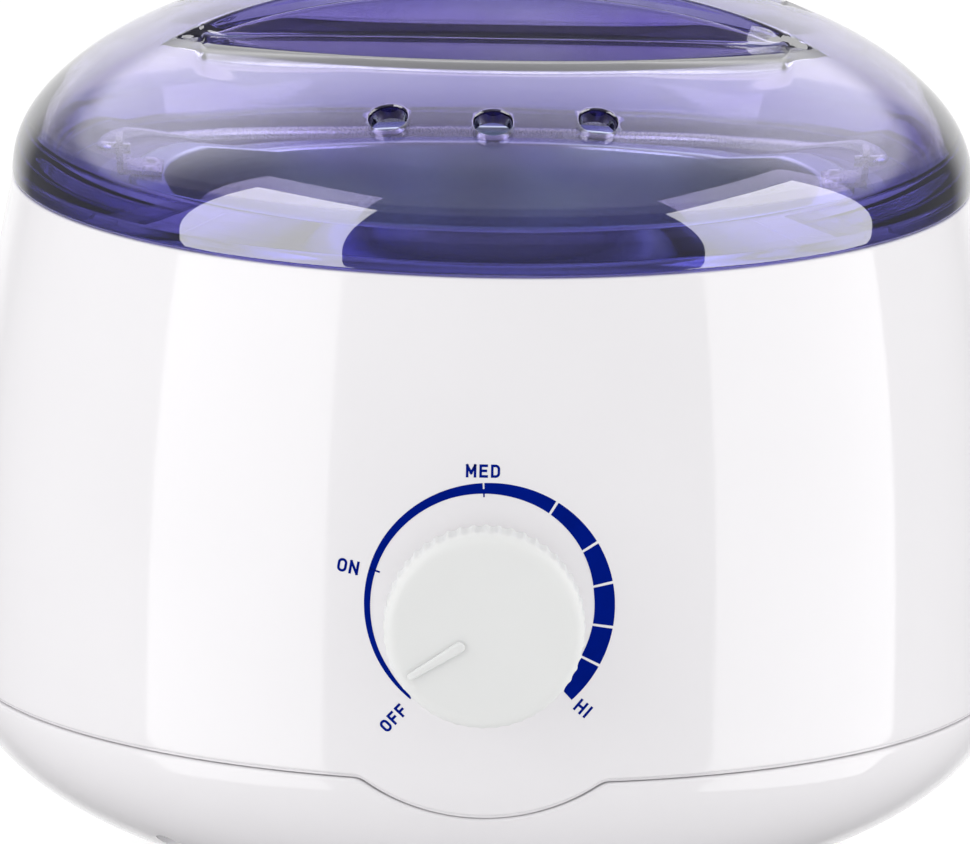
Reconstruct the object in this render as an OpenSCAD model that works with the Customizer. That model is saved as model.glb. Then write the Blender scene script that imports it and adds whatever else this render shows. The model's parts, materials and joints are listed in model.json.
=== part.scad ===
// Wax warmer: a barrel housing with a domed lid, a lift-out pot and a dial thermostat.
// Millimetres, +Z up, the dial faces -Y. The origin is the middle of the footprint, at the feet's height.

/* [Housing] */
// Space between the thermostat's bush and the inside of the housing, at the seam's level
front_gap = 3.4; // [3:0.1:6]
// How far the top rim stands in from the widest level, at the seam
rim_in = 7.2; // [6:0.1:10]
// Height of the seam between base and housing
seam_z = 31; // [29:0.5:34]
// Height of the housing's top rim
rim_z = 117; // [114:1:124]
// Power of the side's curve: a higher one bends in later
side_power = 2.4; // [1.8:0.1:3]
// Wall thickness of the housing and the base
wall = 2.5; // [2:0.1:3]
// Open line along the seam
seam_gap = 0.5; // [0.3:0.1:0.8]
// How far the seam dips under the dial
dip_depth = 6.4; // [5:0.2:8]
// Drop from the rim to the deck that carries the bowl
deck_drop = 6; // [5.5:0.5:8]
// Width of the ledge that the lid's plug passes
rim_ledge = 2.5; // [2:0.1:3.5]

/* [Base and feet] */
// Height from the underside's flat to the seam, as a share of the underside's curve
under_h = 36; // [34:0.5:40]
// How far the rubber feet stand proud of the underside
foot_h = 4; // [3:0.5:5]
// Diameter of a foot
foot_d = 14; // [10:0.5:16]
// Diameter of a foot's stem in the base
foot_stem_d = 6; // [5:0.5:8]
// Diameter of the circle that the feet stand on
foot_ring_d = 92; // [84:1:98]
// Distance from the housing's widest level in to the middle of a screw post
post_inset = 16; // [15:0.5:17]
// Diameter of a screw post
post_d = 9; // [8:0.5:9.5]
// Height of the joint between base boss and housing post
post_joint_z = 22; // [20:0.5:24]

/* [Lid] */
// Wall thickness of the lid
lid_wall = 3.2; // [2.6:0.1:3.6]
// Width of the lid's thick rim
lid_rim_w = 5.6; // [5:0.1:6.5]
// Height of the plain band round the lid's edge
lid_band_h = 10; // [8:0.5:12]
// How far the band leans in over its height
lid_band_lean = 1.4; // [0.8:0.1:1.6]
// Height of the dome above its widest level
dome_h = 33.7; // [32:0.1:38]
// Height of the dome's widest level above the lid's edge
dome_base_h = 3; // [2:0.5:4]
// Depth of the plug that centres the lid in the rim
plug_h = 4.5; // [3.5:0.5:5]
// Diameter of a steam vent
vent_d = 6.5; // [5:0.5:8]
// Number of steam vents
vent_count = 3; // [1:1:5]
// Angle between vents round the lid
vent_step = 16; // [12:1:20]
// Diameter of the circle that the vents lie on
vent_ring_d = 130; // [124:1:134]

/* [Lid grip] */
// Thickness of the grip ridge at its waist
ridge_waist = 13; // [11:0.5:16]
// Thickness of the grip ridge at its ends
ridge_end = 33; // [28:1:38]
// Half length of the grip ridge, where it meets the dome
ridge_reach = 56; // [52:1:60]
// Height of the scoops' floor at the ridge, above the lid's edge
scoop_h = 26.2; // [24:0.2:27]
// Slope of the scoops' floor, rising outwards
scoop_tilt = 6; // [4:0.5:8]

/* [Pot] */
// Inside diameter of the lift-out pot
pot_d = 114; // [108:1:116]
// Depth of the pot from its rim
pot_depth = 60; // [56:1:62]
// Thickness of the pot's sheet
pot_wall = 0.8; // [0.6:0.1:1.2]
// Diameter of the rolled edge of the pot
curl_d = 2.4; // [2:0.1:3]
// Thickness of a bail ear
ear_t = 1.2; // [1:0.1:1.5]
// Width of a bail ear
ear_w = 12; // [10:0.5:14]
// Diameter of the bail's wire
bail_wire_d = 2.5; // [2:0.1:3]
// Droop of the bail when it lies on the flange
bail_droop = 4.2; // [3.5:0.1:4.4]

/* [Heater bowl] */
// Space between pot and bowl
bowl_gap = 1; // [0.6:0.1:1.2]
// Thickness of the bowl's sheet
bowl_wall = 1.2; // [1:0.1:1.6]
// Width of the bowl's flange
flange_w = 10; // [9.5:0.5:11]
// Diameter of the flange's welded studs
stud_d = 4; // [3:0.5:4.5]
// Thickness of the mica heating band
mica_t = 1.5; // [1.2:0.1:2]
// Height of the mica heating band
mica_h = 26; // [20:1:28]
// Thickness of the steel clamping band
clamp_t = 0.6; // [0.5:0.1:1]
// Gap in both bands at the back
band_slot = 12; // [10:1:16]
// Distance from the bowl down to the heat shield
shield_drop = 9; // [8:0.5:10]
// Diameter of the heat shield
shield_d = 100; // [90:1:104]

/* [Dial knob] */
// Height of the dial's axis
dial_z = 62; // [60:0.5:64]
// Diameter of the knob's fluted grip
knob_d = 34.2; // [32:0.2:36]
// Length of the fluted grip
grip_l = 7; // [6:0.5:9]
// Distance of the knob's face from the housing
knob_reach = 22; // [20:0.5:24]
// Diameter of the knob's skirt, next to the housing
skirt_d = 25.6; // [25:0.2:27]
// Space between the knob's skirt and the housing
skirt_gap = 1; // [0.8:0.1:1.5]
// Wall thickness of the knob's skirt
skirt_wall = 1.6; // [1.4:0.1:2]
// Thickness of the knob's face
face_t = 2.4; // [2:0.1:3]
// Number of flutes round the grip
flute_count = 48; // [36:1:52]
// Depth of a flute
flute_depth = 0.35; // [0.25:0.05:0.45]
// Where the pointer stands at rest, clockwise from the top
pointer_angle = 237.5; // [220:0.5:260]
// Height of the raised pointer
pointer_h = 0.8; // [0.5:0.1:1]

/* [Thermostat] */
// How far the bowl's pad for the thermostat stands out from the bowl
pad_t = 3; // [2.5:0.1:4]
// How far the bush stands out of the bracket
bush_reach = 3.6; // [3.2:0.1:4]
// Diameter of the thermostat's spindle
spindle_d = 5.9; // [5.5:0.1:6.2]
// Depth of the thermostat's bracket, from pad to front arm
bracket_l = 17.5; // [17:0.1:18]
// Thickness of the bracket's steel
bracket_t = 1.5; // [1.2:0.1:1.8]
// Height of the bracket
bracket_h = 16; // [14:0.5:18]
// Thickness of a ceramic insulator
insulator_t = 3; // [2.8:0.1:3.1]
// Thickness of a contact blade
blade_t = 0.4; // [0.3:0.05:0.5]
// Width of a contact blade
blade_w = 5; // [4:0.5:6]
// Thickness of the bimetal strip
bimetal_t = 0.8; // [0.6:0.05:0.9]

/* [Cord inlet and wiring] */
// Diameter of the hole for the mains cord
inlet_bore_d = 6.4; // [5.6:0.1:7]
// Height of the cord inlet
inlet_z = 46; // [43:0.5:50]
// Diameter of an insulated lead
lead_d = 2.2; // [1.8:0.1:2.4]
// Diameter of a lamp wire
lamp_wire_d = 1.2; // [1:0.1:1.4]

/* [Hidden] */
$fn = 96;
// Clearances, by what they part
thread_clear = 0.05;
run_clear = 0.05;
pin_clear = 0.1;
seat_clear = 0.2;
slip_clear = 0.3;
plug_clear = 0.8;
steps = 18;
cut = 1;

// Pot, bowl, thermostat and wall, from the axis out to the housing's widest level
pot_r = pot_d / 2;
pot_out_r = pot_r + pot_wall;
bowl_in_r = pot_out_r + bowl_gap;
bowl_out_r = bowl_in_r + bowl_wall;
pad_y = bowl_out_r + pad_t;
arm_y = pad_y + bracket_l;
bush_end_y = arm_y + bush_reach;
body_r = bush_end_y + front_gap + wall;
rim_r = body_r - rim_in;
dip_drop = dial_z - seam_z;
dip_r = dip_drop + dip_depth;
dip_low_z = dial_z - dip_r;
ledge_r = rim_r - rim_ledge;
deck_z = rim_z - deck_drop;
deck_under_z = deck_z - wall;

// Outer radius of the side above the seam, and of the underside below it
function side_r(z) = body_r - (body_r - rim_r) * pow(max(0, (z - seam_z) / (rim_z - seam_z)), side_power);
function under_r(z) = body_r * sqrt(1 - pow((seam_z - z) / under_h, 2));
function under_in_r(z) = (body_r - wall) * sqrt(1 - pow((seam_z - z) / (under_h - wall), 2));
function skin_r(z) = z < seam_z ? under_r(z) : side_r(z);
function lining_r(z) = z < seam_z ? under_in_r(z) : side_r(z) - wall;
// Evenly spaced levels from one height to another
function levels(from, to, n) = [for (i = [0:n]) from + (to - from) * i / n];

floor_z = foot_h + wall;
post_r = body_r - post_inset;
post_angles = [45, 135, 225, 315];
foot_angles = [45, 135, 225, 315];
screw_d = 3;
screw_head_d = 6;
screw_head_h = 2.5;
screw_seat_z = 14.5;
screw_l = 22;
washer_t = 0.8;
nut_t = 3.2;
small_nut_t = 2.4;

// Bowl's flange and the pot that stands on it
flange_r = bowl_out_r + flange_w;
flange_z = deck_z + bowl_wall;
curl_r = curl_d / 2;
curl_z = flange_z + seat_clear + curl_r;
pot_top_z = curl_z + curl_r;
pot_low_z = pot_top_z - pot_depth;
curl_ring_r = pot_out_r + 4.5;
bowl_floor_z = pot_low_z - slip_clear * 2;
bowl_low_z = bowl_floor_z - bowl_wall;
deck_hole_r = bowl_out_r + 3;
stud_ring_r = bowl_out_r + flange_w - 3.5;
stud_angles = [90, 210, 330];
stud_low_z = deck_under_z - washer_t - nut_t - 1;

// Bail and its ears
ear_foot_z = pot_top_z + pin_clear;
ear_x = curl_ring_r + curl_r + 0.6;
ear_top_z = pot_top_z + 7.4;
pivot_z = pot_top_z + 4.4;
bail_bend_r = 2.2;
bail_r = ear_x + ear_t + bail_bend_r + 0.4;
ear_rivet_r = 1;
ear_rivet_x = pot_out_r + 1.65;
ear_rivet_gap = ear_w / 2 - 2.2;

// Lid
lid_z = rim_z + seat_clear;
lid_r = rim_r - 1;
plug_r = ledge_r - plug_clear;
lid_bore_r = lid_r - lid_rim_w;
lid_bore_top = 6;
dome_z = lid_z + dome_base_h;
dome_r = lid_r - 0.3;
dome_in_r = dome_r - lid_wall;
dome_in_h = dome_h - lid_wall;
vent_r = vent_ring_d / 2;
vent_z = dome_z + dome_h * sqrt(1 - pow(vent_r / dome_r, 2));
vent_lean = atan2(vent_r * dome_h * dome_h, (vent_z - dome_z) * dome_r * dome_r);
// Half thickness of the grip ridge at a distance from the middle
ridge_power = 3.5;
function ridge_half(x) = ridge_waist / 2
    + (ridge_end - ridge_waist) / 2 * pow(abs(x) / ridge_reach, ridge_power);

// Bands round the bowl
mica_r = bowl_out_r + pin_clear;
clamp_r = mica_r + mica_t + pin_clear;
band_low_z = dial_z + bracket_h / 2 + 6;
band_mid_z = band_low_z + mica_h / 2;
tab_angles = [245, 295];
tab_rise = 12;
tab_reach = 7.5;
tab_z = band_low_z + tab_rise;
tab_w = 6.3;
tab_t = 0.8;
tab_r = clamp_r + clamp_t + tab_reach;
lug_l = 10;
shield_t = 0.8;
shield_z = bowl_low_z - shield_drop - shield_t;
lug_w = 12;
clamp_screw_r = clamp_r + lug_l - 3;

// Thermostat, measured along -Y from the body's axis
pad_x0 = -24;
pad_w = 38;
small_screw_d = 3;
bracket_screw_x = pad_x0 + pad_w - 4;
bracket_screw_z = [dial_z - 4.5, dial_z + 4.5];
back_y = pad_y + bracket_t;
arm_in_y = arm_y - bracket_t;
stack_x = -15;
stack_r = 5;
rivet_r = 1.6;
bimetal_y = back_y + insulator_t + pin_clear;
lower_y = bimetal_y + bimetal_t + insulator_t + 2 * pin_clear;
upper_y = lower_y + blade_t + insulator_t + 2 * pin_clear;
stack_top_y = upper_y + blade_t + 1.5;
blade_tip_x = 4;
contact_x = -4;
contact_r = 1.5;
contact_h = 1.4;
tag_w = 6;
tag_root = 2;
tag_rise = 13;
tag_drop = 12;
spindle_r = spindle_d / 2;
bush_r = spindle_r + run_clear;
bush_out_r = bush_r + 0.95;
spindle_tip_y = upper_y + blade_t + slip_clear;

// Knob, measured along -Y from the body's axis
front_y = side_r(dial_z);
knob_back_y = front_y + skirt_gap;
knob_face_y = front_y + knob_reach;
knob_r = knob_d / 2;
skirt_r = skirt_d / 2;
knob_l = knob_face_y - knob_back_y;
grip_back = knob_l - grip_l;
edge_round = 2.2;
hub_r = 4.6;
hub_gap = 2;
spindle_end_y = knob_face_y - face_t - 2;
flat_l = 12;
flat_cut = 0.9;
flute_r = 1.1;
pointer_near = 4.9;
pointer_far = 14.6;

// Neon lamp behind the knob
lamp_r = 1.9;
lamp_z = dial_z + 7.8;
lamp_l = 9;
lamp_holder_r = 2.7;
lamp_wall_y = side_r(lamp_z) - wall;
lamp_back_y = lamp_wall_y - 2;
lamp_lead_x = 0.9;
resistor_at = [-8, 1.5 - arm_y, lamp_z + 7.2];
resistor_l = 7;
resistor_r = 1.2;

// Fuse under the bowl
fuse_x = -30;
fuse_r = 2;
fuse_l = 10;
sleeve_r = fuse_r + 0.6;
sleeve_l = 16;
fuse_z = bowl_low_z - pin_clear - sleeve_r;
fuse_stud_x = fuse_x + 9;
clip_t = 0.6;

// Cord gland at the back
inlet_r = inlet_bore_d / 2;
gland_half = inlet_r + 1.8;
gland_flange_r = gland_half * sqrt(2) + 0.9;
gland_wall_y = side_r(inlet_z);
gland_out_y = gland_wall_y + 2.7;
gland_in_y = gland_wall_y - wall - 2.8;

// Terminal block on the base's floor
block_x = -6;
block_y = 42;
block_l = 28;
block_w = 16;
block_h = 14;
block_z = floor_z + 2;
pole_gap = 14;
pole_z = block_z + 5.5;
pole_r = 1.7;
pole_screw_d = 3;
block_screw_d = 2.5;
block_web_h = block_h * 0.3;

// The body's axis stands back from the origin, so the origin is the footprint's middle
axis_y = (knob_face_y + pointer_h - gland_out_y) / 2;

// Colours
c_shell = [0.94, 0.94, 0.93];
c_lid = [0.42, 0.40, 0.80, 0.55];
c_knob = [0.86, 0.88, 0.86];
c_alu = [0.72, 0.74, 0.77];
c_steel = [0.62, 0.63, 0.65];
c_ceramic = [0.92, 0.90, 0.84];
c_rubber = [0.12, 0.12, 0.13];
c_brass = [0.80, 0.64, 0.30];
c_sleeve = [0.93, 0.93, 0.90];

module stand() {
    translate([0, axis_y, 0]) children();
}

module lift(z) {
    translate([0, 0, z]) children();
}

// A cylinder along -Y, from one distance in front of the axis to another
module along_front(r, near, far, x = 0, z = dial_z) {
    translate([x, -near, z]) rotate([90, 0, 0]) cylinder(h = far - near, r = r);
}

// A cylinder along +Y between two distances behind the axis
module along_back(r, near, far, x = 0, z = 0) {
    translate([x, far, z]) rotate([90, 0, 0]) cylinder(h = far - near, r = r);
}

// A box between two corners
module block(low, high) {
    translate(low) cube(high - low);
}

module ring(r_out, r_in, h) {
    difference() {
        cylinder(h = h, r = r_out);
        translate([0, 0, -cut]) cylinder(h = h + 2 * cut, r = r_in);
    }
}

module at_ring(r, angles, z = 0) {
    for (a = angles) rotate([0, 0, a]) translate([r, 0, z]) children();
}

// Half outline of a round cup with a rounded bottom corner, solid to its axis
function cup(r, corner, low, high) = concat(
    [[0, low]],
    [for (a = [0:10:90]) [r - corner + corner * sin(a), low + corner - corner * cos(a)]],
    [[r, high], [0, high]]
);

// A pan head screw that points up from its seat, with a cross in its head
module pan_screw(d, l, head_d, head_h) {
    slot = [head_d * 0.6, 0.8, head_h];
    difference() {
        union() {
            lift(-head_h / 2) cylinder(h = l + head_h / 2, r = d / 2);
            lift(-head_h) cylinder(h = head_h, r = head_d / 2);
        }
        for (turn = [0, 90]) {
            rotate([0, 0, turn]) translate([-slot[0] / 2, -slot[1] / 2, -slot[2] * 1.5]) cube(slot);
        }
    }
}

module hex_nut(d, across, t) {
    difference() {
        cylinder(h = t, r = across / sqrt(3), $fn = 6);
        translate([0, 0, -cut]) cylinder(h = t + 2 * cut, r = d / 2 + thread_clear);
    }
}

// The dip's disc, seen from the front: what is inside it belongs to the housing
module dip_disc(r) {
    translate([0, 0, dial_z]) rotate([90, 0, 0]) cylinder(h = body_r + cut, r = r);
}

// Skin of the body between two levels, a wall thick
module skin(z0, z1) {
    out = [for (z = levels(z0, z1, steps)) [skin_r(z), z]];
    back = [for (z = levels(z1, z0, steps)) [lining_r(z), z]];
    rotate_extrude() polygon(concat(out, back));
}

module base() {
    top_z = seam_z - seam_gap / 2;
    out = [for (z = levels(foot_h, top_z, steps)) [under_r(z), z]];
    back = [for (z = levels(top_z, floor_z, steps)) [under_in_r(z), z]];
    low = [block_x - block_l / 2, block_y - block_w / 2, floor_z - 0.5];
    color(c_shell) stand() difference() {
        union() {
            rotate_extrude() polygon(concat([[0, foot_h]], out, back, [[0, floor_z]]));
            intersection() {
                at_ring(post_r, post_angles) cylinder(h = post_joint_z, r = post_d / 2 + 0.5);
                rotate_extrude() polygon(concat([[0, foot_h]], out, [[0, top_z]]));
            }
            block(low, [low[0] + block_l, low[1] + block_w, block_z]);
        }
        dip_disc(dip_r + seam_gap / 2);
        at_ring(post_r, post_angles) {
            lift(-cut) cylinder(h = screw_seat_z + cut, r = screw_head_d / 2 + slip_clear);
            cylinder(h = post_joint_z + cut, r = screw_d / 2 + pin_clear);
        }
        at_ring(foot_ring_d / 2, foot_angles) cylinder(h = floor_z + cut, r = foot_stem_d / 2 + pin_clear);
        translate([block_x, block_y, foot_h + 1]) cylinder(h = wall + 2, r = block_screw_d / 2 + thread_clear);
    }
}

module foot(angle) {
    edge = 1;
    stem_r = foot_stem_d / 2;
    color(c_rubber) stand() at_ring(foot_ring_d / 2, [angle]) {
        cylinder(h = edge, r1 = foot_d / 2 - edge, r2 = foot_d / 2);
        lift(edge) cylinder(h = foot_h - edge, r = foot_d / 2);
        lift(foot_h - 0.01) cylinder(h = wall + 0.01, r = stem_r);
        lift(floor_z) cylinder(h = 1.5, r1 = stem_r + 0.8, r2 = stem_r - 0.4);
    }
}

module foot_1() {
    foot(foot_angles[0]);
}

module foot_2() {
    foot(foot_angles[1]);
}

module foot_3() {
    foot(foot_angles[2]);
}

module foot_4() {
    foot(foot_angles[3]);
}

module housing_screws() {
    color(c_steel) stand() at_ring(post_r, post_angles, screw_seat_z) {
        pan_screw(screw_d, screw_l, screw_head_d, screw_head_h);
    }
}

// Inner lip that centres the housing in the base
module seam_lip() {
    lip_z = seam_z - 4.5;
    lip_r = under_in_r(lip_z) - slip_clear;
    lip_in_r = lip_r - 2;
    join_z = seam_z + seam_gap / 2 + 0.4;
    root_r = body_r - wall + 0.6;
    rotate_extrude() polygon([
        [lip_in_r, lip_z],
        [lip_r, lip_z],
        [lip_r, join_z],
        [root_r, join_z],
        [root_r, join_z + 3],
        [lip_in_r, join_z + 3]
    ]);
}

module upper_housing() {
    low_z = seam_z + seam_gap / 2;
    out = [for (z = levels(low_z, rim_z - 0.6, steps)) [side_r(z), z]];
    rim = [[rim_r - 0.6, rim_z], [ledge_r, rim_z], [ledge_r, deck_z]];
    deck = [[deck_hole_r, deck_z], [deck_hole_r, deck_under_z]];
    back = [for (z = levels(deck_under_z, low_z, steps)) [side_r(z) - wall, z]];
    pilot_top_z = screw_seat_z + screw_l + 2;
    color(c_shell) stand() difference() {
        union() {
            rotate_extrude() polygon(concat(out, rim, deck, back));
            intersection() {
                skin(dip_low_z - 2, low_z + 1);
                dip_disc(dip_r - seam_gap / 2);
            }
            seam_lip();
            at_ring(post_r, post_angles, post_joint_z + pin_clear) {
                cylinder(h = deck_z - post_joint_z - 1, r = post_d / 2);
            }
        }
        at_ring(post_r, post_angles, post_joint_z - cut) {
            cylinder(h = pilot_top_z - post_joint_z + cut, r = screw_d / 2 + thread_clear);
        }
        at_ring(stud_ring_r, stud_angles, deck_under_z - cut) {
            cylinder(h = wall + 2 * cut, r = stud_d / 2 + slip_clear);
        }
        along_front(bush_out_r + slip_clear, front_y - wall - 8, front_y + cut);
        along_front(lamp_holder_r + pin_clear, lamp_wall_y - 8, front_y + cut, 0, lamp_z);
        gland_block(gland_half + pin_clear, gland_wall_y - wall - 5, gland_wall_y + cut);
    }
}

module heater_bowl() {
    corner = 5;
    pad_low = [pad_x0, -pad_y, dial_z - bracket_h / 2];
    color(c_alu) stand() difference() {
        union() {
            rotate_extrude() polygon(cup(bowl_out_r, corner, bowl_low_z, flange_z));
            lift(deck_z) cylinder(h = bowl_wall, r = flange_r);
            translate(pad_low) cube([pad_w, 12, bracket_h]);
            at_ring(stud_ring_r, stud_angles, stud_low_z) {
                cylinder(h = deck_z - stud_low_z + 0.5, r = stud_d / 2);
            }
            lift(bowl_low_z - shield_drop - 5.5) cylinder(h = shield_drop + 6, r = stud_d / 2);
            translate([fuse_stud_x, 0, bowl_low_z - 4.2]) cylinder(h = 4.7, r = small_screw_d / 2);
        }
        rotate_extrude() polygon(cup(bowl_in_r, corner - bowl_wall, bowl_floor_z, flange_z + cut));
        for (z = bracket_screw_z) {
            along_front(small_screw_d / 2 + thread_clear, pad_y - 4.6, pad_y + cut, bracket_screw_x, z);
        }
    }
}

module bowl_washers() {
    color(c_steel) stand() at_ring(stud_ring_r, stud_angles, deck_under_z - washer_t) {
        ring(stud_d / 2 + 2, stud_d / 2 + pin_clear, washer_t);
    }
}

module bowl_nuts() {
    color(c_steel) stand() at_ring(stud_ring_r, stud_angles, deck_under_z - washer_t - nut_t) {
        hex_nut(stud_d, stud_d + 3, nut_t);
    }
}

// A band round the bowl, open at the back
module open_band(r_in, t, z, h) {
    r_out = r_in + t;
    difference() {
        lift(z) ring(r_out, r_in, h);
        block([-band_slot / 2, 0, z - cut], [band_slot / 2, r_out + cut, z + h + cut]);
    }
}

// The heater's tabs, or the windows that they pass, between two radii
module tab_slots(r_in, r_out, w, h) {
    middle_z = tab_z + tab_t / 2;
    for (a = tab_angles) {
        rotate([0, 0, a]) block([r_in, -w / 2, middle_z - h / 2], [r_out, w / 2, middle_z + h / 2]);
    }
}

module mica_heater() {
    color([0.80, 0.74, 0.62]) stand() open_band(mica_r, mica_t, band_low_z, mica_h);
}

module heater_tabs() {
    color(c_brass) stand() tab_slots(mica_r + mica_t + pin_clear / 2, tab_r, tab_w, tab_t);
}

module clamp_band() {
    slot = band_slot / 2;
    lug_z = band_mid_z - lug_w / 2;
    lug_y = clamp_r - 0.2;
    color(c_steel) stand() difference() {
        union() {
            open_band(clamp_r, clamp_t, band_low_z + 2, mica_h - 4);
            block([slot, lug_y, lug_z], [slot + clamp_t, lug_y + lug_l, lug_z + lug_w]);
            block([-slot - clamp_t, lug_y, lug_z], [-slot, lug_y + lug_l, lug_z + lug_w]);
        }
        tab_slots(clamp_r - cut, clamp_r + clamp_t + cut, tab_w + 3, tab_t + 6);
        translate([-band_slot, clamp_screw_r, band_mid_z]) rotate([0, 90, 0]) {
            cylinder(h = 2 * band_slot, r = small_screw_d / 2 + pin_clear);
        }
    }
}

module clamp_screw() {
    lug_out = band_slot / 2 + clamp_t;
    color(c_steel) stand() translate([lug_out, clamp_screw_r, band_mid_z]) rotate([0, -90, 0]) {
        pan_screw(small_screw_d, 2 * lug_out + 4.5, 5.5, 2);
    }
}

module clamp_nut() {
    lug_out = band_slot / 2 + clamp_t;
    color(c_steel) stand() translate([-lug_out, clamp_screw_r, band_mid_z]) rotate([0, -90, 0]) {
        hex_nut(small_screw_d, 5.5, small_nut_t);
    }
}

module shield_spacer() {
    color(c_alu) stand() lift(bowl_low_z - shield_drop) {
        ring(stud_d / 2 + 1.8, stud_d / 2 + pin_clear, shield_drop);
    }
}

module heat_shield() {
    lip_h = 3;
    color(c_alu) stand() difference() {
        union() {
            lift(shield_z) cylinder(h = shield_t, r = shield_d / 2);
            lift(shield_z - lip_h) ring(shield_d / 2, shield_d / 2 - shield_t, lip_h + shield_t);
        }
        lift(shield_z - cut) cylinder(h = shield_t + 2 * cut, r = stud_d / 2 + pin_clear);
    }
}

module shield_nut() {
    color(c_steel) stand() lift(shield_z - nut_t) hex_nut(stud_d, stud_d + 3, nut_t);
}

module thermal_fuse() {
    color(c_alu) stand() along_back(fuse_r, -fuse_l / 2, fuse_l / 2, fuse_x, fuse_z);
}

module fuse_sleeve() {
    color(c_sleeve) stand() translate([fuse_x, sleeve_l / 2, fuse_z]) rotate([90, 0, 0]) {
        ring(sleeve_r, fuse_r + pin_clear, sleeve_l);
    }
}

// Saddle that holds the sleeve up against the bowl, with a foot on its stud
module fuse_clip() {
    half_w = 3;
    clip_in = sleeve_r + pin_clear;
    clip_out = clip_in + clip_t;
    leg_x = fuse_x + clip_in;
    foot_z = bowl_low_z - clip_t;
    color(c_steel) stand() difference() {
        union() {
            translate([fuse_x, half_w, fuse_z]) rotate([90, 0, 0]) ring(clip_out, clip_in, 2 * half_w);
            block([leg_x, -half_w, fuse_z], [leg_x + clip_t, half_w, bowl_low_z]);
            block([leg_x, -half_w, foot_z], [fuse_stud_x + 3.5, half_w, bowl_low_z]);
        }
        block([fuse_x - clip_out - cut, -half_w - cut, fuse_z], [leg_x, half_w + cut, bowl_low_z + cut]);
        translate([fuse_stud_x, 0, foot_z - cut]) {
            cylinder(h = 2 * cut + clip_t, r = small_screw_d / 2 + pin_clear);
        }
    }
}

module fuse_nut() {
    color(c_steel) stand() translate([fuse_stud_x, 0, bowl_low_z - clip_t - small_nut_t]) {
        hex_nut(small_screw_d, 5.5, small_nut_t);
    }
}

// A plate square to -Y, from one distance in front of the axis to another
module front_plate(x0, x1, z0, z1, near, far) {
    translate([x0, -far, z0]) cube([x1 - x0, far - near, z1 - z0]);
}

module thermostat_bracket() {
    z0 = dial_z - bracket_h / 2;
    z1 = dial_z + bracket_h / 2;
    color(c_steel) stand() difference() {
        union() {
            front_plate(pad_x0, pad_x0 + pad_w, z0, z1, pad_y, back_y);
            front_plate(pad_x0, pad_x0 + bracket_t, z0, z1, pad_y, arm_y);
            front_plate(pad_x0, 10, z0, z1, arm_in_y, arm_y);
        }
        along_front(bush_out_r + pin_clear, arm_in_y - cut, arm_y + cut);
        along_front(rivet_r + pin_clear, pad_y - cut, back_y + cut, stack_x);
        for (z = bracket_screw_z) {
            along_front(small_screw_d / 2 + pin_clear, pad_y - cut, back_y + cut, bracket_screw_x, z);
        }
    }
}

module bracket_screws() {
    color(c_steel) stand() for (z = bracket_screw_z) {
        translate([bracket_screw_x, -back_y, z]) rotate([-90, 0, 0]) pan_screw(small_screw_d, 5, 5.2, 2);
    }
}

module insulator(near) {
    difference() {
        along_front(stack_r, near, near + insulator_t, stack_x);
        along_front(rivet_r + pin_clear, near - cut, near + insulator_t + cut, stack_x);
    }
}

module stack_insulators() {
    gap = pin_clear / 2;
    color(c_ceramic) stand() {
        insulator(back_y + gap);
        insulator(bimetal_y + bimetal_t + gap);
        insulator(lower_y + blade_t + gap);
    }
}

module stack_rivet() {
    color(c_steel) stand() {
        along_front(rivet_r, pad_y + 0.2, stack_top_y - 0.5, stack_x);
        along_front(rivet_r + 1.2, upper_y + blade_t + pin_clear, stack_top_y, stack_x);
    }
}

// A strip from the stack to the dial's axis, square to -Y
module strip(near, t, h, x1) {
    difference() {
        front_plate(stack_x - stack_r, x1, dial_z - h / 2, dial_z + h / 2, near, near + t);
        along_front(rivet_r + pin_clear, near - cut, near + t + cut, stack_x);
    }
}

module bimetal_strip() {
    color([0.55, 0.50, 0.46]) stand() strip(bimetal_y, bimetal_t, blade_w + 3, blade_tip_x - 2);
}

module push_pin() {
    gap = pin_clear / 2;
    color(c_ceramic) stand() along_front(1, bimetal_y + bimetal_t + gap, lower_y - gap, 0);
}

module lower_blade() {
    half_w = tag_w / 2;
    face_y = lower_y + blade_t;
    color(c_brass) stand() union() {
        strip(lower_y, blade_t, blade_w, blade_tip_x);
        front_plate(stack_x - half_w, stack_x + half_w, dial_z + tag_root, dial_z + tag_rise, lower_y, face_y);
        along_front(contact_r, face_y - 0.01, face_y + contact_h, contact_x);
    }
}

module upper_blade() {
    half_w = tag_w / 2;
    far_y = upper_y + blade_t;
    color(c_brass) stand() union() {
        strip(upper_y, blade_t, blade_w, blade_tip_x);
        front_plate(stack_x - half_w, stack_x + half_w, dial_z - tag_drop, dial_z - tag_root, upper_y, far_y);
        along_front(contact_r, upper_y - contact_h, upper_y + 0.01, contact_x);
    }
}

module spindle_bush() {
    flange_t = 1.2;
    color(c_brass) stand() difference() {
        union() {
            along_front(bush_out_r, arm_in_y - flange_t, bush_end_y);
            along_front(bush_out_r + 1.8, arm_in_y - flange_t, arm_in_y);
        }
        along_front(bush_r, arm_in_y - flange_t - cut, bush_end_y + cut);
    }
}

module bush_nut() {
    color(c_steel) stand() translate([0, -arm_y, dial_z]) rotate([90, 0, 0]) {
        hex_nut(2 * bush_out_r, 2 * bush_out_r + 2.6, 2.5);
    }
}

module spindle() {
    flat_z = spindle_r - flat_cut;
    color(c_alu) stand() difference() {
        union() {
            along_front(spindle_r, arm_in_y - 1, spindle_end_y);
            along_front(1.2, spindle_tip_y, arm_in_y - 0.99);
        }
        turned_dial() block(
            [-spindle_r, -spindle_end_y - cut, flat_z],
            [spindle_r, flat_l - spindle_end_y, spindle_r + cut]
        );
    }
}

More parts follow.
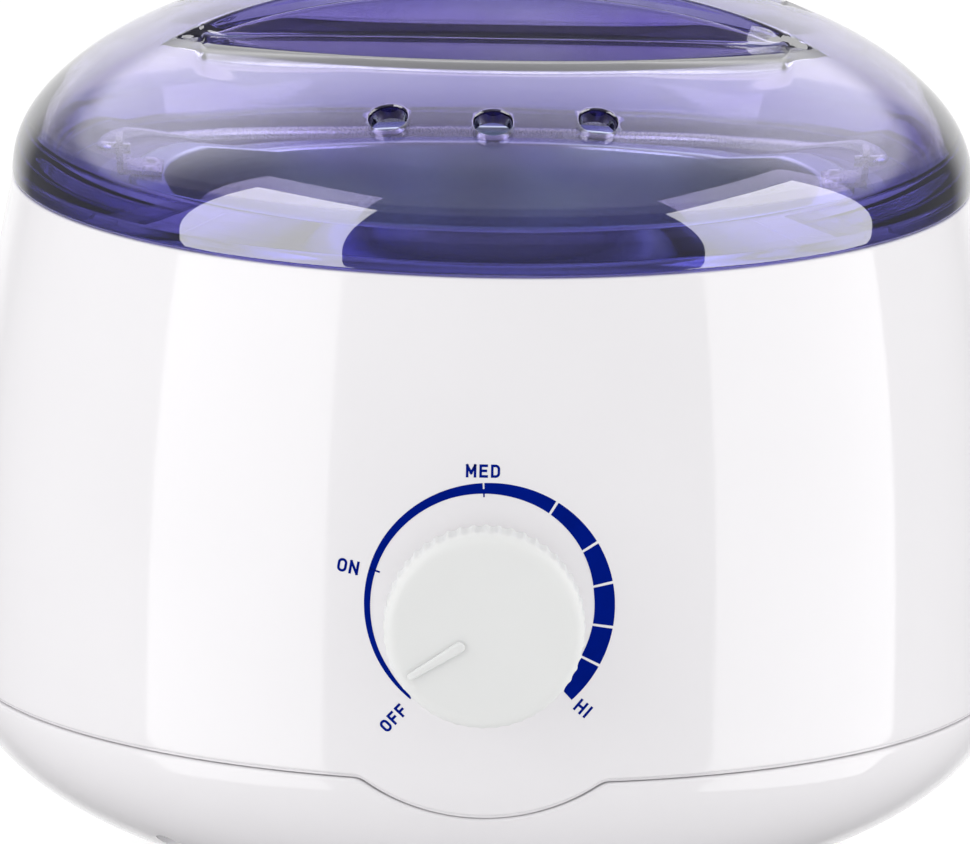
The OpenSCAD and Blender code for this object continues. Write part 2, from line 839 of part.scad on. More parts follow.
// Turns a shape drawn at twelve o'clock round the dial's axis to where the pointer stands
module turned_dial() {
    translate([0, 0, dial_z]) rotate([0, pointer_angle, 0]) children();
}

module neon_lamp() {
    color([0.95, 0.60, 0.35]) stand() union() {
        along_front(lamp_r, lamp_back_y, lamp_back_y + lamp_l - lamp_r, 0, lamp_z);
        translate([0, -lamp_back_y - lamp_l + lamp_r, lamp_z]) sphere(r = lamp_r);
    }
}

module lamp_holder() {
    color([0.88, 0.88, 0.85]) stand() difference() {
        union() {
            along_front(lamp_holder_r, lamp_back_y, front_y + 1.6, 0, lamp_z);
            along_front(lamp_holder_r + 1.3, lamp_back_y, lamp_wall_y - 0.5, 0, lamp_z);
        }
        along_front(lamp_r + pin_clear, lamp_back_y - cut, front_y + 1.6 + cut, 0, lamp_z);
    }
}

module lamp_resistor() {
    bead_l = resistor_l * 0.25;
    color([0.75, 0.62, 0.45]) stand() translate(resistor_at - [resistor_l / 2, 0, 0]) rotate([0, 90, 0]) {
        cylinder(h = resistor_l, r = resistor_r * 0.8);
        cylinder(h = bead_l, r = resistor_r);
        lift(resistor_l - bead_l) cylinder(h = bead_l, r = resistor_r);
    }
}

// Places of the block's two poles
module at_poles() {
    for (side = [-1, 1]) translate([block_x + side * pole_gap / 2, block_y, 0]) children();
}

// Places of the screws, two to a pole
module at_pole_screws(z) {
    at_poles() for (end = [-1, 1]) translate([0, end * 4.5, z]) children();
}

module terminal_block() {
    half_w = block_w / 2;
    color(c_ceramic) stand() difference() {
        union() {
            translate([block_x - block_l / 2, block_y - half_w, block_z]) cube([block_l, block_w, block_web_h]);
            at_poles() block([-4.5, -half_w, block_z], [4.5, half_w, block_z + block_h]);
        }
        at_poles() along_back(pole_r, -half_w - cut, half_w + cut, 0, pole_z);
        at_pole_screws(pole_z) cylinder(h = block_h, r = pole_screw_d / 2 + thread_clear);
        translate([block_x, block_y, block_z - cut]) cylinder(h = block_h, r = block_screw_d / 2 + pin_clear);
    }
}

module terminal_screws() {
    color(c_brass) stand() at_pole_screws(pole_z + lead_d / 2 + pin_clear) difference() {
        cylinder(h = 6, r = pole_screw_d / 2);
        block([-2, -0.3, 5.2], [2, 0.3, 6 + cut]);
    }
}

module block_screw() {
    color(c_steel) stand() translate([block_x, block_y, block_z + block_web_h]) rotate([180, 0, 0]) {
        pan_screw(block_screw_d, block_web_h + 3.5, 4.4, 1.8);
    }
}

// The gland's square neck, or the window that keeps it from turning
module gland_block(half, near, far) {
    block([-half, near, inlet_z - half], [half, far, inlet_z + half]);
}

module cord_gland() {
    length = gland_out_y - gland_in_y;
    edge = 0.8;
    flange_t = 2.5;
    inner_t = 2.2;
    color(c_rubber) stand() difference() {
        union() {
            gland_block(gland_half, gland_in_y + 0.1, gland_out_y - edge - 0.1);
            translate([0, gland_in_y, inlet_z]) rotate([-90, 0, 0]) {
                cylinder(h = inner_t, r = gland_flange_r - 0.4);
                lift(length - flange_t) cylinder(h = flange_t - edge, r = gland_flange_r);
                lift(length - edge) cylinder(h = edge, r1 = gland_flange_r, r2 = gland_flange_r - edge);
            }
        }
        along_back(inlet_r, gland_in_y - cut, gland_out_y + cut, 0, inlet_z);
    }
}

// Smooth path through hand-set points, leaving the first and reaching the last in a straight line
function spline_point(p0, p1, p2, p3, t) = 0.5 * (2 * p1 + (p2 - p0) * t
    + (2 * p0 - 5 * p1 + 4 * p2 - p3) * t * t
    + (3 * p1 - p0 - 3 * p2 + p3) * t * t * t);
function before(points, i) = i > 0 ? points[i - 1] : 2 * points[0] - points[1];
function after(points, i) = i < len(points) - 2 ? points[i + 2] : 2 * points[i + 1] - points[i];
function spline(points, n) = concat(
    [for (i = [0:len(points) - 2]) for (j = [0:n - 1])
        spline_point(before(points, i), points[i], points[i + 1], after(points, i), j / n)],
    [points[len(points) - 1]]
);
function unit(v) = v / norm(v);

// Direction of a path at one of its rings, square to the ends
function heading(points, path, i) = let (last = len(path) - 1, end = len(points) - 1)
    i == 0 ? unit(points[1] - points[0])
    : i == last ? unit(points[end] - points[end - 1])
    : unit(path[i + 1] - path[i - 1]);

// Round lead swept along a path, eight sides
module lead(points, d, n = 3) {
    sides = 8;
    path = spline(points, n);
    last = len(path) - 1;
    up = [0.31, 0.17, 0.93];
    rings = [for (i = [0:last]) let (
        dir = heading(points, path, i),
        u = unit(cross(dir, abs(dir * up) > 0.9 ? [1, 0, 0] : up)),
        v = cross(dir, u)
    ) for (k = [0:sides - 1]) path[i] + d / 2 * (cos(360 * k / sides) * u + sin(360 * k / sides) * v)];
    walls = [for (i = [0:last - 1]) for (k = [0:sides - 1]) for (half = [0, 1])
        let (a = i * sides + k, b = i * sides + (k + 1) % sides)
        half == 0 ? [a, b, b + sides] : [a, b + sides, a + sides]];
    caps = [[for (k = [sides - 1:-1:0]) k], [for (k = [0:sides - 1]) last * sides + k]];
    polyhedron(points = rings, faces = concat(walls, caps));
}

// Ends of the leads, from the pieces they meet
pole_left = block_x - pole_gap / 2;
pole_right = block_x + pole_gap / 2;
fuse_end = fuse_l / 2 + pin_clear;
lower_tab = [stack_x, -lower_y - blade_t / 2, dial_z + tag_rise + seat_clear];
upper_tab = [stack_x, -upper_y - blade_t / 2, dial_z - tag_drop - seat_clear];
lamp_end = [0, -lamp_back_y + pin_clear + 0.05, lamp_z];
resistor_end = resistor_l / 2 + pin_clear + 0.05;
// The middle of the way between the bowl and a screw post
aisle_r = (bowl_out_r + post_r - post_d / 2) / 2;
// A point on a heater tab's line, at a distance from the body's axis
function tab_point(i, r, z) = [r * cos(tab_angles[i]), r * sin(tab_angles[i]), z];
function aisle_point(a, r, z) = [r * cos(a), r * sin(a), z];
tab_mid_z = tab_z + tab_t / 2;

route_inlet_fuse = [
    [fuse_x, fuse_end, fuse_z],
    [fuse_x, 14, fuse_z],
    [-32, 34, fuse_z - 1],
    [-36, 54, 42],
    [-30, 65, 28],
    [pole_left - 2, 64, 17],
    [pole_left, 56, pole_z],
    [pole_left, block_y + 3, pole_z]
];
route_fuse_switch = [
    [fuse_x, -fuse_end, fuse_z],
    [fuse_x, -14, fuse_z],
    [-25, 22 - bowl_out_r, fuse_z - 2],
    [-18, -bowl_out_r, fuse_z - 5],
    upper_tab - [0, -0.6, 5],
    upper_tab - [0, 0, 1.6],
    upper_tab
];
route_switch_heater = [
    lower_tab - [1.7, 0, 0],
    lower_tab + [-1.7, 0, 1.4],
    [-21, -tab_r - 0.2, tab_mid_z - 5],
    tab_point(0, tab_r + 5, tab_mid_z - 2),
    tab_point(0, tab_r + 3, tab_mid_z),
    tab_point(0, tab_r + 1.6, tab_mid_z),
    tab_point(0, tab_r + 0.15, tab_mid_z)
];
route_heater_return = [
    tab_point(1, tab_r - 4, tab_z - 0.15),
    tab_point(1, tab_r - 4, tab_z - 2),
    tab_point(1, tab_r - 4, tab_z - 4.5),
    aisle_point(-59, aisle_r + 0.7, 72),
    aisle_point(-45, aisle_r, 58),
    aisle_point(-25, aisle_r + 1.4, 44),
    aisle_point(0, aisle_r + 1.2, 28),
    [54, 16, 15],
    [30, 20, 11.5],
    [8, 20, 11.5],
    [pole_right, 27, pole_z],
    [pole_right, block_y - 3, pole_z]
];
route_lamp_resistor = [
    lamp_end - [lamp_lead_x, 0, 0],
    lamp_end + [-lamp_lead_x, 1, 0],
    [-1.2, 3.6 - lamp_back_y, lamp_z + 3.2],
    resistor_at + [resistor_end + 1.6, 0, -0.6],
    resistor_at + [resistor_end + 0.8, 0, 0],
    resistor_at + [resistor_end, 0, 0]
];
route_resistor_switch = [
    resistor_at - [resistor_end, 0, 0],
    resistor_at - [resistor_end + 0.8, 0, 0],
    resistor_at + [-resistor_end - 2, 1.6, 0.4],
    lower_tab + [1.6, -1, 2],
    lower_tab + [1.6, 0, 0.8],
    lower_tab + [1.6, 0, 0]
];
route_lamp_return = [
    lamp_end + [lamp_lead_x, 0, 0],
    lamp_end + [lamp_lead_x, 1, 0],
    [6, 4.6 - lamp_back_y, lamp_z + 4.2],
    [22, -tab_r - 3.2, tab_mid_z - 5],
    tab_point(1, tab_r + 5, tab_mid_z - 2),
    tab_point(1, tab_r + 3, tab_mid_z),
    tab_point(1, tab_r + 1.6, tab_mid_z),
    tab_point(1, tab_r + 0.15, tab_mid_z)
];

module wire_inlet_fuse() {
    color("firebrick") stand() lead(route_inlet_fuse, lead_d);
}

module wire_fuse_switch() {
    color("firebrick") stand() lead(route_fuse_switch, lead_d);
}

module wire_switch_heater() {
    color("firebrick") stand() lead(route_switch_heater, lead_d);
}

module wire_heater_return() {
    color("royalblue") stand() lead(route_heater_return, lead_d);
}

module wire_lamp_resistor() {
    color("gold") stand() lead(route_lamp_resistor, lamp_wire_d);
}

module wire_resistor_switch() {
    color("gold") stand() lead(route_resistor_switch, lamp_wire_d);
}

module wire_lamp_return() {
    color("gold") stand() lead(route_lamp_return, lamp_wire_d);
}

// Half outline of the knob from its back, radius against distance
neck_l = grip_back * 0.3;
flare = knob_r - 0.6 - skirt_r;
knob_outline = concat(
    [[0, 0], [skirt_r, 0], [skirt_r, neck_l]],
    [for (t = [0.25, 0.5, 0.75, 1]) [skirt_r + flare * pow(t, 1.6), neck_l + grip_back * 0.62 * t]],
    [[knob_r, grip_back], [knob_r, knob_l - edge_round]],
    [for (a = [15:15:90]) [knob_r - edge_round * (1 - cos(a)), knob_l - edge_round * (1 - sin(a))]],
    [[0, knob_l]]
);

// Grooves round the knob's grip, open at the front
module flutes() {
    reach = knob_r - flute_depth + flute_r;
    near = knob_back_y + grip_back * 0.6;
    far = knob_face_y - edge_round * 0.5;
    for (i = [1:flute_count]) {
        turn = 360 * i / flute_count;
        along_front(flute_r, near, far, reach * cos(turn), dial_z + reach * sin(turn));
    }
}

module pointer() {
    root_y = knob_face_y - 0.3;
    turned_dial() hull() {
        for (end = [[pointer_near, 0.95], [pointer_far, 0.6]]) {
            translate([0, -root_y, end[0]]) rotate([90, 0, 0]) {
                cylinder(h = pointer_h + 0.3, r1 = end[1], r2 = end[1] * 0.7, $fn = 32);
            }
        }
    }
}

module knob() {
    color(c_knob) stand() difference() {
        union() {
            difference() {
                translate([0, -knob_back_y, dial_z]) rotate([90, 0, 0]) rotate_extrude() polygon(knob_outline);
                along_front(skirt_r - skirt_wall, knob_back_y - cut, knob_face_y - face_t);
                flutes();
            }
            along_front(hub_r, knob_back_y + hub_gap, knob_face_y - 0.5);
            pointer();
        }
        along_front(spindle_r + run_clear, knob_back_y - cut, spindle_end_y + slip_clear);
    }
}

// Sprung steel strip between the spindle's flat and the knob's bore
module knob_clip() {
    half_w = 1.2;
    clip_z = spindle_r - flat_cut + pin_clear;
    color(c_steel) stand() turned_dial() {
        block([-half_w, -spindle_end_y, clip_z], [half_w, flat_l - 3 - spindle_end_y, clip_z + 0.5]);
    }
}

module pot() {
    corner = 6;
    color(c_alu) stand() difference() {
        union() {
            rotate_extrude() polygon(cup(pot_out_r, corner, pot_low_z, pot_top_z));
            lift(pot_top_z - pot_wall) cylinder(h = pot_wall, r = curl_ring_r);
            lift(curl_z) rotate_extrude() translate([curl_ring_r, 0]) circle(r = curl_r);
        }
        rotate_extrude() polygon(cup(pot_r, corner - pot_wall, pot_low_z + pot_wall, pot_top_z + cut));
        at_ear_rivets(pot_top_z - 3) cylinder(h = 4, r = ear_rivet_r + thread_clear);
    }
}

module at_ear_rivets(z) {
    for (side = [-1, 1]) for (end = [-1, 1]) {
        translate([side * ear_rivet_x, end * ear_rivet_gap, z]) children();
    }
}

// An ear of the bail, drawn on the right and turned to its side
module ear(turn) {
    foot_x = pot_r + 0.4;
    half_w = ear_w / 2;
    color(c_steel) stand() difference() {
        rotate([0, 0, turn]) difference() {
            union() {
                block([foot_x, -half_w, ear_foot_z], [ear_x + ear_t, half_w, ear_foot_z + 1]);
                intersection() {
                    block([ear_x, -half_w, ear_foot_z], [ear_x + ear_t, half_w, ear_top_z]);
                    translate([ear_x - cut, 0, pivot_z - 2.2]) rotate([0, 90, 0]) {
                        cylinder(h = ear_t + 2 * cut, r = half_w - 0.2);
                    }
                }
            }
            translate([ear_x - cut, 0, pivot_z]) rotate([0, 90, 0]) {
                cylinder(h = ear_t + 2 * cut, r = bail_wire_d / 2 + run_clear);
            }
        }
        at_ear_rivets(pot_top_z - 1) cylinder(h = 4, r = ear_rivet_r + thread_clear);
    }
}

module ear_left() {
    ear(180);
}

module ear_right() {
    ear(0);
}

module ear_rivets() {
    head_h = 0.6;
    head_r = ear_rivet_r + 0.5;
    low_z = pot_top_z - pot_wall - head_h;
    top_z = ear_foot_z + 1;
    color(c_alu) stand() at_ear_rivets(0) {
        lift(low_z) cylinder(h = top_z + head_h - low_z, r = ear_rivet_r);
        lift(low_z) cylinder(h = head_h, r1 = ear_rivet_r, r2 = head_r);
        lift(top_z) cylinder(h = head_h, r1 = head_r, r2 = ear_rivet_r);
    }
}

module bail() {
    wire_r = bail_wire_d / 2;
    pin_x = ear_x - 1.2;
    color(c_steel) stand() translate([0, 0, pivot_z]) rotate([-bail_droop, 0, 0]) union() {
        translate([0, bail_bend_r, 0]) rotate_extrude(angle = 180) translate([bail_r, 0]) circle(r = wire_r);
        for (side = [-1, 1]) {
            translate([side * (bail_r - bail_bend_r), bail_bend_r, 0]) rotate([0, 0, side > 0 ? -90 : 180])
                rotate_extrude(angle = 90) translate([bail_bend_r, 0]) circle(r = wire_r);
            translate([side > 0 ? pin_x : bail_bend_r - bail_r, 0, 0]) rotate([0, 90, 0])
                cylinder(h = bail_r - bail_bend_r - pin_x, r = wire_r);
        }
    }
}

// One scoop in front of the grip ridge; grow widens it by the lid's wall, to shape the lid's inside
module scoop(grow) {
    reach = dome_r + cut;
    start_y = 8;
    floor_lift = lid_z + scoop_h - grow;
    ridge = [for (i = [-16:16]) let (x = ridge_reach * 1.12 * i / 16) [x, grow - ridge_half(x)]];
    plan = concat(ridge, [[reach, -reach], [-reach, -reach]]);
    intersection() {
        lift(lid_z) linear_extrude(height = dome_h + dome_base_h + 20) polygon(plan);
        translate([0, -start_y, floor_lift]) rotate([-scoop_tilt, 0, 0]) {
            block([-reach, -2 * reach, 0], [reach, 30, 60]);
        }
    }
}

module scoops(grow) {
    scoop(grow);
    mirror([0, 1, 0]) scoop(grow);
}

// Points of a dome from a level up to its top
function dome(r, h, from_z) = let (low = asin((from_z - dome_z) / h)) [
    for (i = [0:steps]) let (a = low + (90 - low) * i / steps) [r * cos(a), dome_z + h * sin(a)]
];

module vents() {
    middle = (vent_count - 1) / 2;
    turns = [for (i = [0:vent_count - 1]) (i - middle) * vent_step - 90];
    at_ring(vent_r, turns, vent_z) rotate([0, vent_lean, 0]) {
        lift(-2 * lid_wall) cylinder(h = 4 * lid_wall, r = vent_d / 2);
    }
}

module lid() {
    low_z = lid_z - plug_h;
    band_z = lid_z + lid_band_h;
    crease_r = lid_r - lid_band_lean;
    bore_z = lid_z + lid_bore_top;
    outside = concat(
        [[0, low_z], [plug_r, low_z], [plug_r, lid_z], [lid_r - 0.5, lid_z], [lid_r, lid_z + 0.5]],
        [[crease_r + 0.2, band_z - 0.4], [crease_r - 0.2, band_z]],
        dome(dome_r, dome_h, band_z)
    );
    inside = concat(
        [[0, low_z - cut], [lid_bore_r, low_z - cut], [lid_bore_r, bore_z]],
        dome(dome_in_r, dome_in_h, bore_z)
    );
    color(c_lid) stand() difference() {
        rotate_extrude() polygon(outside);
        scoops(0);
        difference() {
            rotate_extrude() polygon(inside);
            scoops(lid_wall);
        }
        vents();
    }
}

base();
foot_1();
foot_2();
foot_3();
foot_4();
housing_screws();
upper_housing();
heater_bowl();
bowl_washers();
bowl_nuts();
mica_heater();
heater_tabs();
clamp_band();
clamp_screw();
clamp_nut();
shield_spacer();
heat_shield();
shield_nut();
thermal_fuse();
fuse_sleeve();
fuse_clip();
fuse_nut();
thermostat_bracket();
bracket_screws();
stack_insulators();
stack_rivet();
bimetal_strip();
push_pin();
lower_blade();
upper_blade();
spindle_bush();
bush_nut();
spindle();
neon_lamp();
lamp_holder();
lamp_resistor();
terminal_block();
terminal_screws();
block_screw();
cord_gland();
wire_inlet_fuse();
wire_fuse_switch();
wire_switch_heater();
wire_heater_return();
wire_lamp_resistor();
wire_resistor_switch();
wire_lamp_return();
knob();
knob_clip();
pot();
ear_left();
ear_right();
ear_rivets();
bail();
lid();
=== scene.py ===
"""Wax warmer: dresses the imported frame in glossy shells, a clear violet lid, a fluted dial and a spun pot.

Sizes are in millimetres, measured from the body's upright axis with the dial towards -Y, and are turned
to the frame's metres when a mesh is made.
"""

import json
import logging
import math
from dataclasses import dataclass
from enum import Enum
from typing import Any, Optional, Sequence

import bmesh
import bpy
import numpy as np
from mathutils import Matrix, Vector

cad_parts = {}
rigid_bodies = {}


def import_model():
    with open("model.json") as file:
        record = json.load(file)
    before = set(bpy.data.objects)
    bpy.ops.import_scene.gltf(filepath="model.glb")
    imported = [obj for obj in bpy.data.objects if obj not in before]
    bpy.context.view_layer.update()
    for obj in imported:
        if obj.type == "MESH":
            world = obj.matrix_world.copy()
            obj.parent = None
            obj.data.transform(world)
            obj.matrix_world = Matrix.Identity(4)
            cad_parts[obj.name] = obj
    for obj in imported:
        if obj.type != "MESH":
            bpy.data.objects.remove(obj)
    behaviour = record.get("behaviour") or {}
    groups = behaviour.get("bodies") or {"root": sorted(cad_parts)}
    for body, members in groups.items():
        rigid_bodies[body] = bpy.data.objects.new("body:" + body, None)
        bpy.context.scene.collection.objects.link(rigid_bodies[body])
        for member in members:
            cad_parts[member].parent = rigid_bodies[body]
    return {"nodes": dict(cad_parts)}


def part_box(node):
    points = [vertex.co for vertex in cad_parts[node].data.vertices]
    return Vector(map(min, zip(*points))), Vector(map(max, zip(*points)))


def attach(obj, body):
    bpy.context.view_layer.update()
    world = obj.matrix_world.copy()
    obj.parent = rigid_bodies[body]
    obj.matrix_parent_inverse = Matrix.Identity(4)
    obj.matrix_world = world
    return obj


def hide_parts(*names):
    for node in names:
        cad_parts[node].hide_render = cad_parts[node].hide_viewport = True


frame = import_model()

LOG = logging.getLogger("wax_warmer")
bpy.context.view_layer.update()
MM = 0.001
Array = np.ndarray
Object = bpy.types.Object
Mesh = bpy.types.Mesh
Material = bpy.types.Material
Socket = bpy.types.NodeSocket
Outline = list[tuple[float, float]]
Colour = tuple[float, float, float]
CORNER_TURNS = (45, 135, 225, 315)


def axis_shift() -> float:
    """Distance in millimetres from the frame's origin back to the body's axis."""
    low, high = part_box("pot")
    return (low.y + high.y) / 2 / MM


AXIS_Y = axis_shift()


# Shapes


def to_frame(points: Array) -> Array:
    """Turns points about the body's axis, in millimetres, into the frame's metres."""
    return (np.asarray(points, float) + np.array([0.0, AXIS_Y, 0.0])) * MM


@dataclass
class Sheet:
    """A grid of points, joined into quads along its rows and columns.

    Args:
        points: An array of rows by columns by three, in millimetres about the body's axis.
        wrap_rows: True if the last row joins the first.
        wrap_columns: True if the last column joins the first.
    """

    points: Array
    wrap_rows: bool = False
    wrap_columns: bool = False

    def faces(self, start: int) -> list[tuple[int, int, int, int]]:
        """Quads of the grid, numbered from a first vertex.

        Args:
            start: The number of the sheet's first vertex in its mesh.

        Returns:
            Four vertex numbers for each quad.
        """
        rows, columns = self.points.shape[:2]
        i = np.arange(rows if self.wrap_rows else rows - 1)
        j = np.arange(columns if self.wrap_columns else columns - 1)
        i, j = (a.ravel() for a in np.meshgrid(i, j, indexing="ij"))
        i2, j2 = (i + 1) % rows, (j + 1) % columns
        quads = np.stack([i * columns + j, i * columns + j2, i2 * columns + j2, i2 * columns + j], 1)
        return [tuple(q) for q in (quads + start).tolist()]

    def shift(self, x: float, y: float) -> None:
        """Shifts the sheet to the side and back, in millimetres."""
        self.points = self.points + np.array([x, y, 0.0])

    def turn(self, angle: float, axis: str) -> None:
        """Turns the sheet by an angle in radians about an axis through its origin."""
        self.points = self.points @ np.array(Matrix.Rotation(angle, 3, axis)).T


def mesh_of(name: str, sheets: Sequence[Sheet], merge_mm: float = 1e-4) -> Mesh:
    """Makes one closed mesh of several sheets, with its faces outwards.

    Args:
        name: Name of the mesh.
        sheets: The grids that make its surface.
        merge_mm: Points closer than this become one.

    Returns:
        The new mesh, in the frame's metres.
    """
    points, faces, start = [], [], 0
    for sheet in sheets:
        points.append(sheet.points.reshape(-1, 3))
        faces += sheet.faces(start)
        start += len(points[-1])
    mesh = bpy.data.meshes.new(name)
    mesh.from_pydata(to_frame(np.concatenate(points)).tolist(), [], faces)
    close_mesh(mesh, merge_mm)
    return mesh


def close_mesh(mesh: Mesh, merge_mm: float = 1e-4) -> None:
    """Merges a mesh's doubles, drops its empty faces and turns the rest outwards.

    Args:
        mesh: The mesh, changed in place.
        merge_mm: Points closer than this become one.
    """
    work = bmesh.new()
    work.from_mesh(mesh)
    bmesh.ops.remove_doubles(work, verts=work.verts, dist=merge_mm * MM)
    bmesh.ops.dissolve_degenerate(work, dist=merge_mm * MM * 0.5, edges=work.edges)
    bmesh.ops.recalc_face_normals(work, faces=work.faces)
    work.to_mesh(mesh)
    work.free()
    mesh.update()


def smooth(mesh: Mesh, sharp_deg: Optional[float]) -> None:
    """Shades a mesh smooth.

    Args:
        mesh: The mesh.
        sharp_deg: Edges that bend more than this stay sharp, or None where all are smooth.
    """
    mesh.shade_smooth()
    if sharp_deg is not None:
        mesh.set_sharp_from_angle(angle=math.radians(sharp_deg))


def linked(name: str, data: Any) -> Object:
    """Adds an object to the scene.

    Args:
        name: Name of the object.
        data: Its mesh, light or camera.

    Returns:
        The object, at the origin.
    """
    made = bpy.data.objects.new(name, data)
    bpy.context.scene.collection.objects.link(made)
    return made


def object_of(name: str, mesh: Mesh, sharp_deg: Optional[float] = 40.0) -> Object:
    """Adds a smooth-shaded object for a mesh, with sharp_deg as in smooth."""
    smooth(mesh, sharp_deg)
    return linked(name, mesh)


def lathe(outline: Sequence[Sequence[float]], columns: int = 192, closed: bool = True) -> Sheet:
    """A sheet turned round the body's axis.

    Args:
        outline: Radius and height of each point of the section.
        columns: How many steps the turn takes.
        closed: True if the outline's last point joins its first.

    Returns:
        The sheet.
    """
    section = np.asarray(outline, float)
    turn = np.linspace(0, 2 * np.pi, columns, endpoint=False) - np.pi / 2
    r, z = section[:, :1], np.broadcast_to(section[:, 1:2], (len(section), columns))
    return Sheet(np.stack([r * np.cos(turn), r * np.sin(turn), z], 2), closed, True)


def rounded(corners: Sequence[Sequence[float]], steps: int = 5, closed: bool = True) -> Outline:
    """Rounds the corners of an outline.

    Args:
        corners: Two coordinates of each corner and the radius that rounds it.
        steps: Pieces of each arc.
        closed: True if the outline is a loop, so that its ends are rounded too.

    Returns:
        The points of the rounded outline.
    """
    points = np.array([c[:2] for c in corners], float)
    out: Outline = []
    for k, corner in enumerate(corners):
        radius = corner[2] if len(corner) > 2 else 0.0
        if radius <= 0 or (not closed and k in (0, len(corners) - 1)):
            out.append(tuple(points[k]))
            continue
        before, here, after = points[k - 1], points[k], points[(k + 1) % len(points)]
        one, two = before - here, after - here
        len_one, len_two = np.linalg.norm(one), np.linalg.norm(two)
        one, two = one / len_one, two / len_two
        half = math.acos(float(np.clip(one @ two, -1, 1))) / 2
        reach = min(radius / math.tan(half), 0.49 * len_one, 0.49 * len_two)
        real = reach * math.tan(half)
        middle = here + (one + two) / np.linalg.norm(one + two) * (real / math.sin(half))
        start, end = here + one * reach - middle, here + two * reach - middle
        a0, a1 = math.atan2(start[1], start[0]), math.atan2(end[1], end[0])
        sweep = (a1 - a0 + math.pi) % (2 * math.pi) - math.pi
        for s in range(steps + 1):
            a = a0 + sweep * s / steps
            out.append((middle[0] + real * math.cos(a), middle[1] + real * math.sin(a)))
    return out


def filled(outline: Sequence[Sequence[float]], longest: float) -> Outline:
    """Adds points to an open outline so that no step of it is longer than a length.

    Args:
        outline: Two coordinates of each point.
        longest: The longest step.

    Returns:
        The outline with the points added.
    """
    out: Outline = []
    for here, after in zip(outline, outline[1:]):
        count = max(1, math.ceil(math.dist(here, after) / longest))
        out += [tuple(np.array(here) + (np.array(after) - np.array(here)) * s / count) for s in range(count)]
    return out + [tuple(outline[-1])]


def steps_between(start: Any, end: Any, count: int) -> list[Any]:
    """Even steps from one number or row of numbers to another, with both of them."""
    return [start * (1 - share) + end * share for share in np.linspace(0, 1, count)]


def settle(piece: Object) -> None:
    """Keeps the shape that a piece's modifiers give it as its own mesh, and removes them.

    Args:
        piece: The piece.
    """
    bpy.context.view_layer.update()
    shaped = piece.evaluated_get(bpy.context.evaluated_depsgraph_get())
    mesh = bpy.data.meshes.new_from_object(shaped)
    piece.modifiers.clear()
    old, piece.data = piece.data, mesh
    bpy.data.meshes.remove(old)


def cut_away(piece: Object, *tools: Object) -> None:
    """Cuts tools' shapes out of a piece.

    Args:
        piece: The piece.
        *tools: The tools, removed afterwards.
    """
    for tool in tools:
        cutter = piece.modifiers.new("cut", "BOOLEAN")
        cutter.operation, cutter.solver, cutter.object = "DIFFERENCE", "EXACT", tool
    settle(piece)
    for tool in tools:
        bpy.data.objects.remove(tool)


def rod(name: str, r: float, near: float, far: float, z: float, columns: int = 64) -> Object:
    """A round tool along Y to cut with, in front of or behind the body's axis.

    Args:
        name: Name of the tool.
        r: Its radius.
        near: Where it starts on Y.
        far: Where it ends on Y.
        z: Its height.
        columns: How many steps its round takes.

    Returns:
        The tool.
    """
    turn = np.linspace(0, 2 * np.pi, columns, endpoint=False)
    rows = []
    for radius, y in ((0.0, near), (r, near), (r, far), (0.0, far)):
        rows.append(np.stack([radius * np.cos(turn), np.full(columns, y), z + radius * np.sin(turn)], 1))
    return object_of(name, mesh_of(name, [Sheet(np.stack(rows), False, True)]))


def upright(name: str, r: float, low: float, high: float, x: float, y: float, columns: int = 48) -> Object:
    """A round upright tool to cut with, turned half a step so that its corners miss a shell's columns.

    Args:
        name: Name of the tool.
        r: Its radius.
        low: Height of its lower end.
        high: Height of its upper end.
        x: Distance of its axis to the side.
        y: Distance of its axis to the back.
        columns: How many steps its round takes.

    Returns:
        The tool.
    """
    sheet = lathe([(0, low), (r, low), (r, high), (0, high)], columns, False)
    sheet.turn(math.pi / columns, "Z")
    sheet.shift(x, y)
    return object_of(name, mesh_of(name, [sheet]))


def block(name: str, size: Sequence[float], middle: Sequence[float], eased: float = 0.0) -> Mesh:
    """A box.

    Args:
        name: Name of the mesh.
        size: Length of its three sides.
        middle: Where its middle lies, from the body's axis.
        eased: Share of each side that its eased edges take.

    Returns:
        Its mesh.
    """
    mesh = bpy.data.meshes.new(name)
    work = bmesh.new()
    bmesh.ops.create_cube(work, size=1.0)
    if eased > 0:
        bmesh.ops.bevel(work, geom=work.edges[:], offset=eased, segments=2, affect="EDGES")
    work.to_mesh(mesh)
    work.free()
    mesh.transform(Matrix.Diagonal((*(side * MM for side in size), 1)))
    mesh.transform(Matrix.Translation(to_frame(middle)))
    return mesh


def corner_places(r: float) -> Outline:
    """The four places at a distance from the axis where posts, wells and feet stand."""
    return [(r * math.cos(turn), r * math.sin(turn)) for turn in np.radians(CORNER_TURNS)]


def joined(name: str, meshes: Sequence[Mesh]) -> Mesh:
    """Puts several meshes in one and removes those that no object uses.

    Args:
        name: Name of the result.
        meshes: The meshes.

    Returns:
        One mesh with all their faces.
    """
    work = bmesh.new()
    for mesh in meshes:
        work.from_mesh(mesh)
    whole = bpy.data.meshes.new(name)
    work.to_mesh(whole)
    work.free()
    for mesh in meshes:
        if not mesh.users:
            bpy.data.meshes.remove(mesh)
    return whole


# Node trees


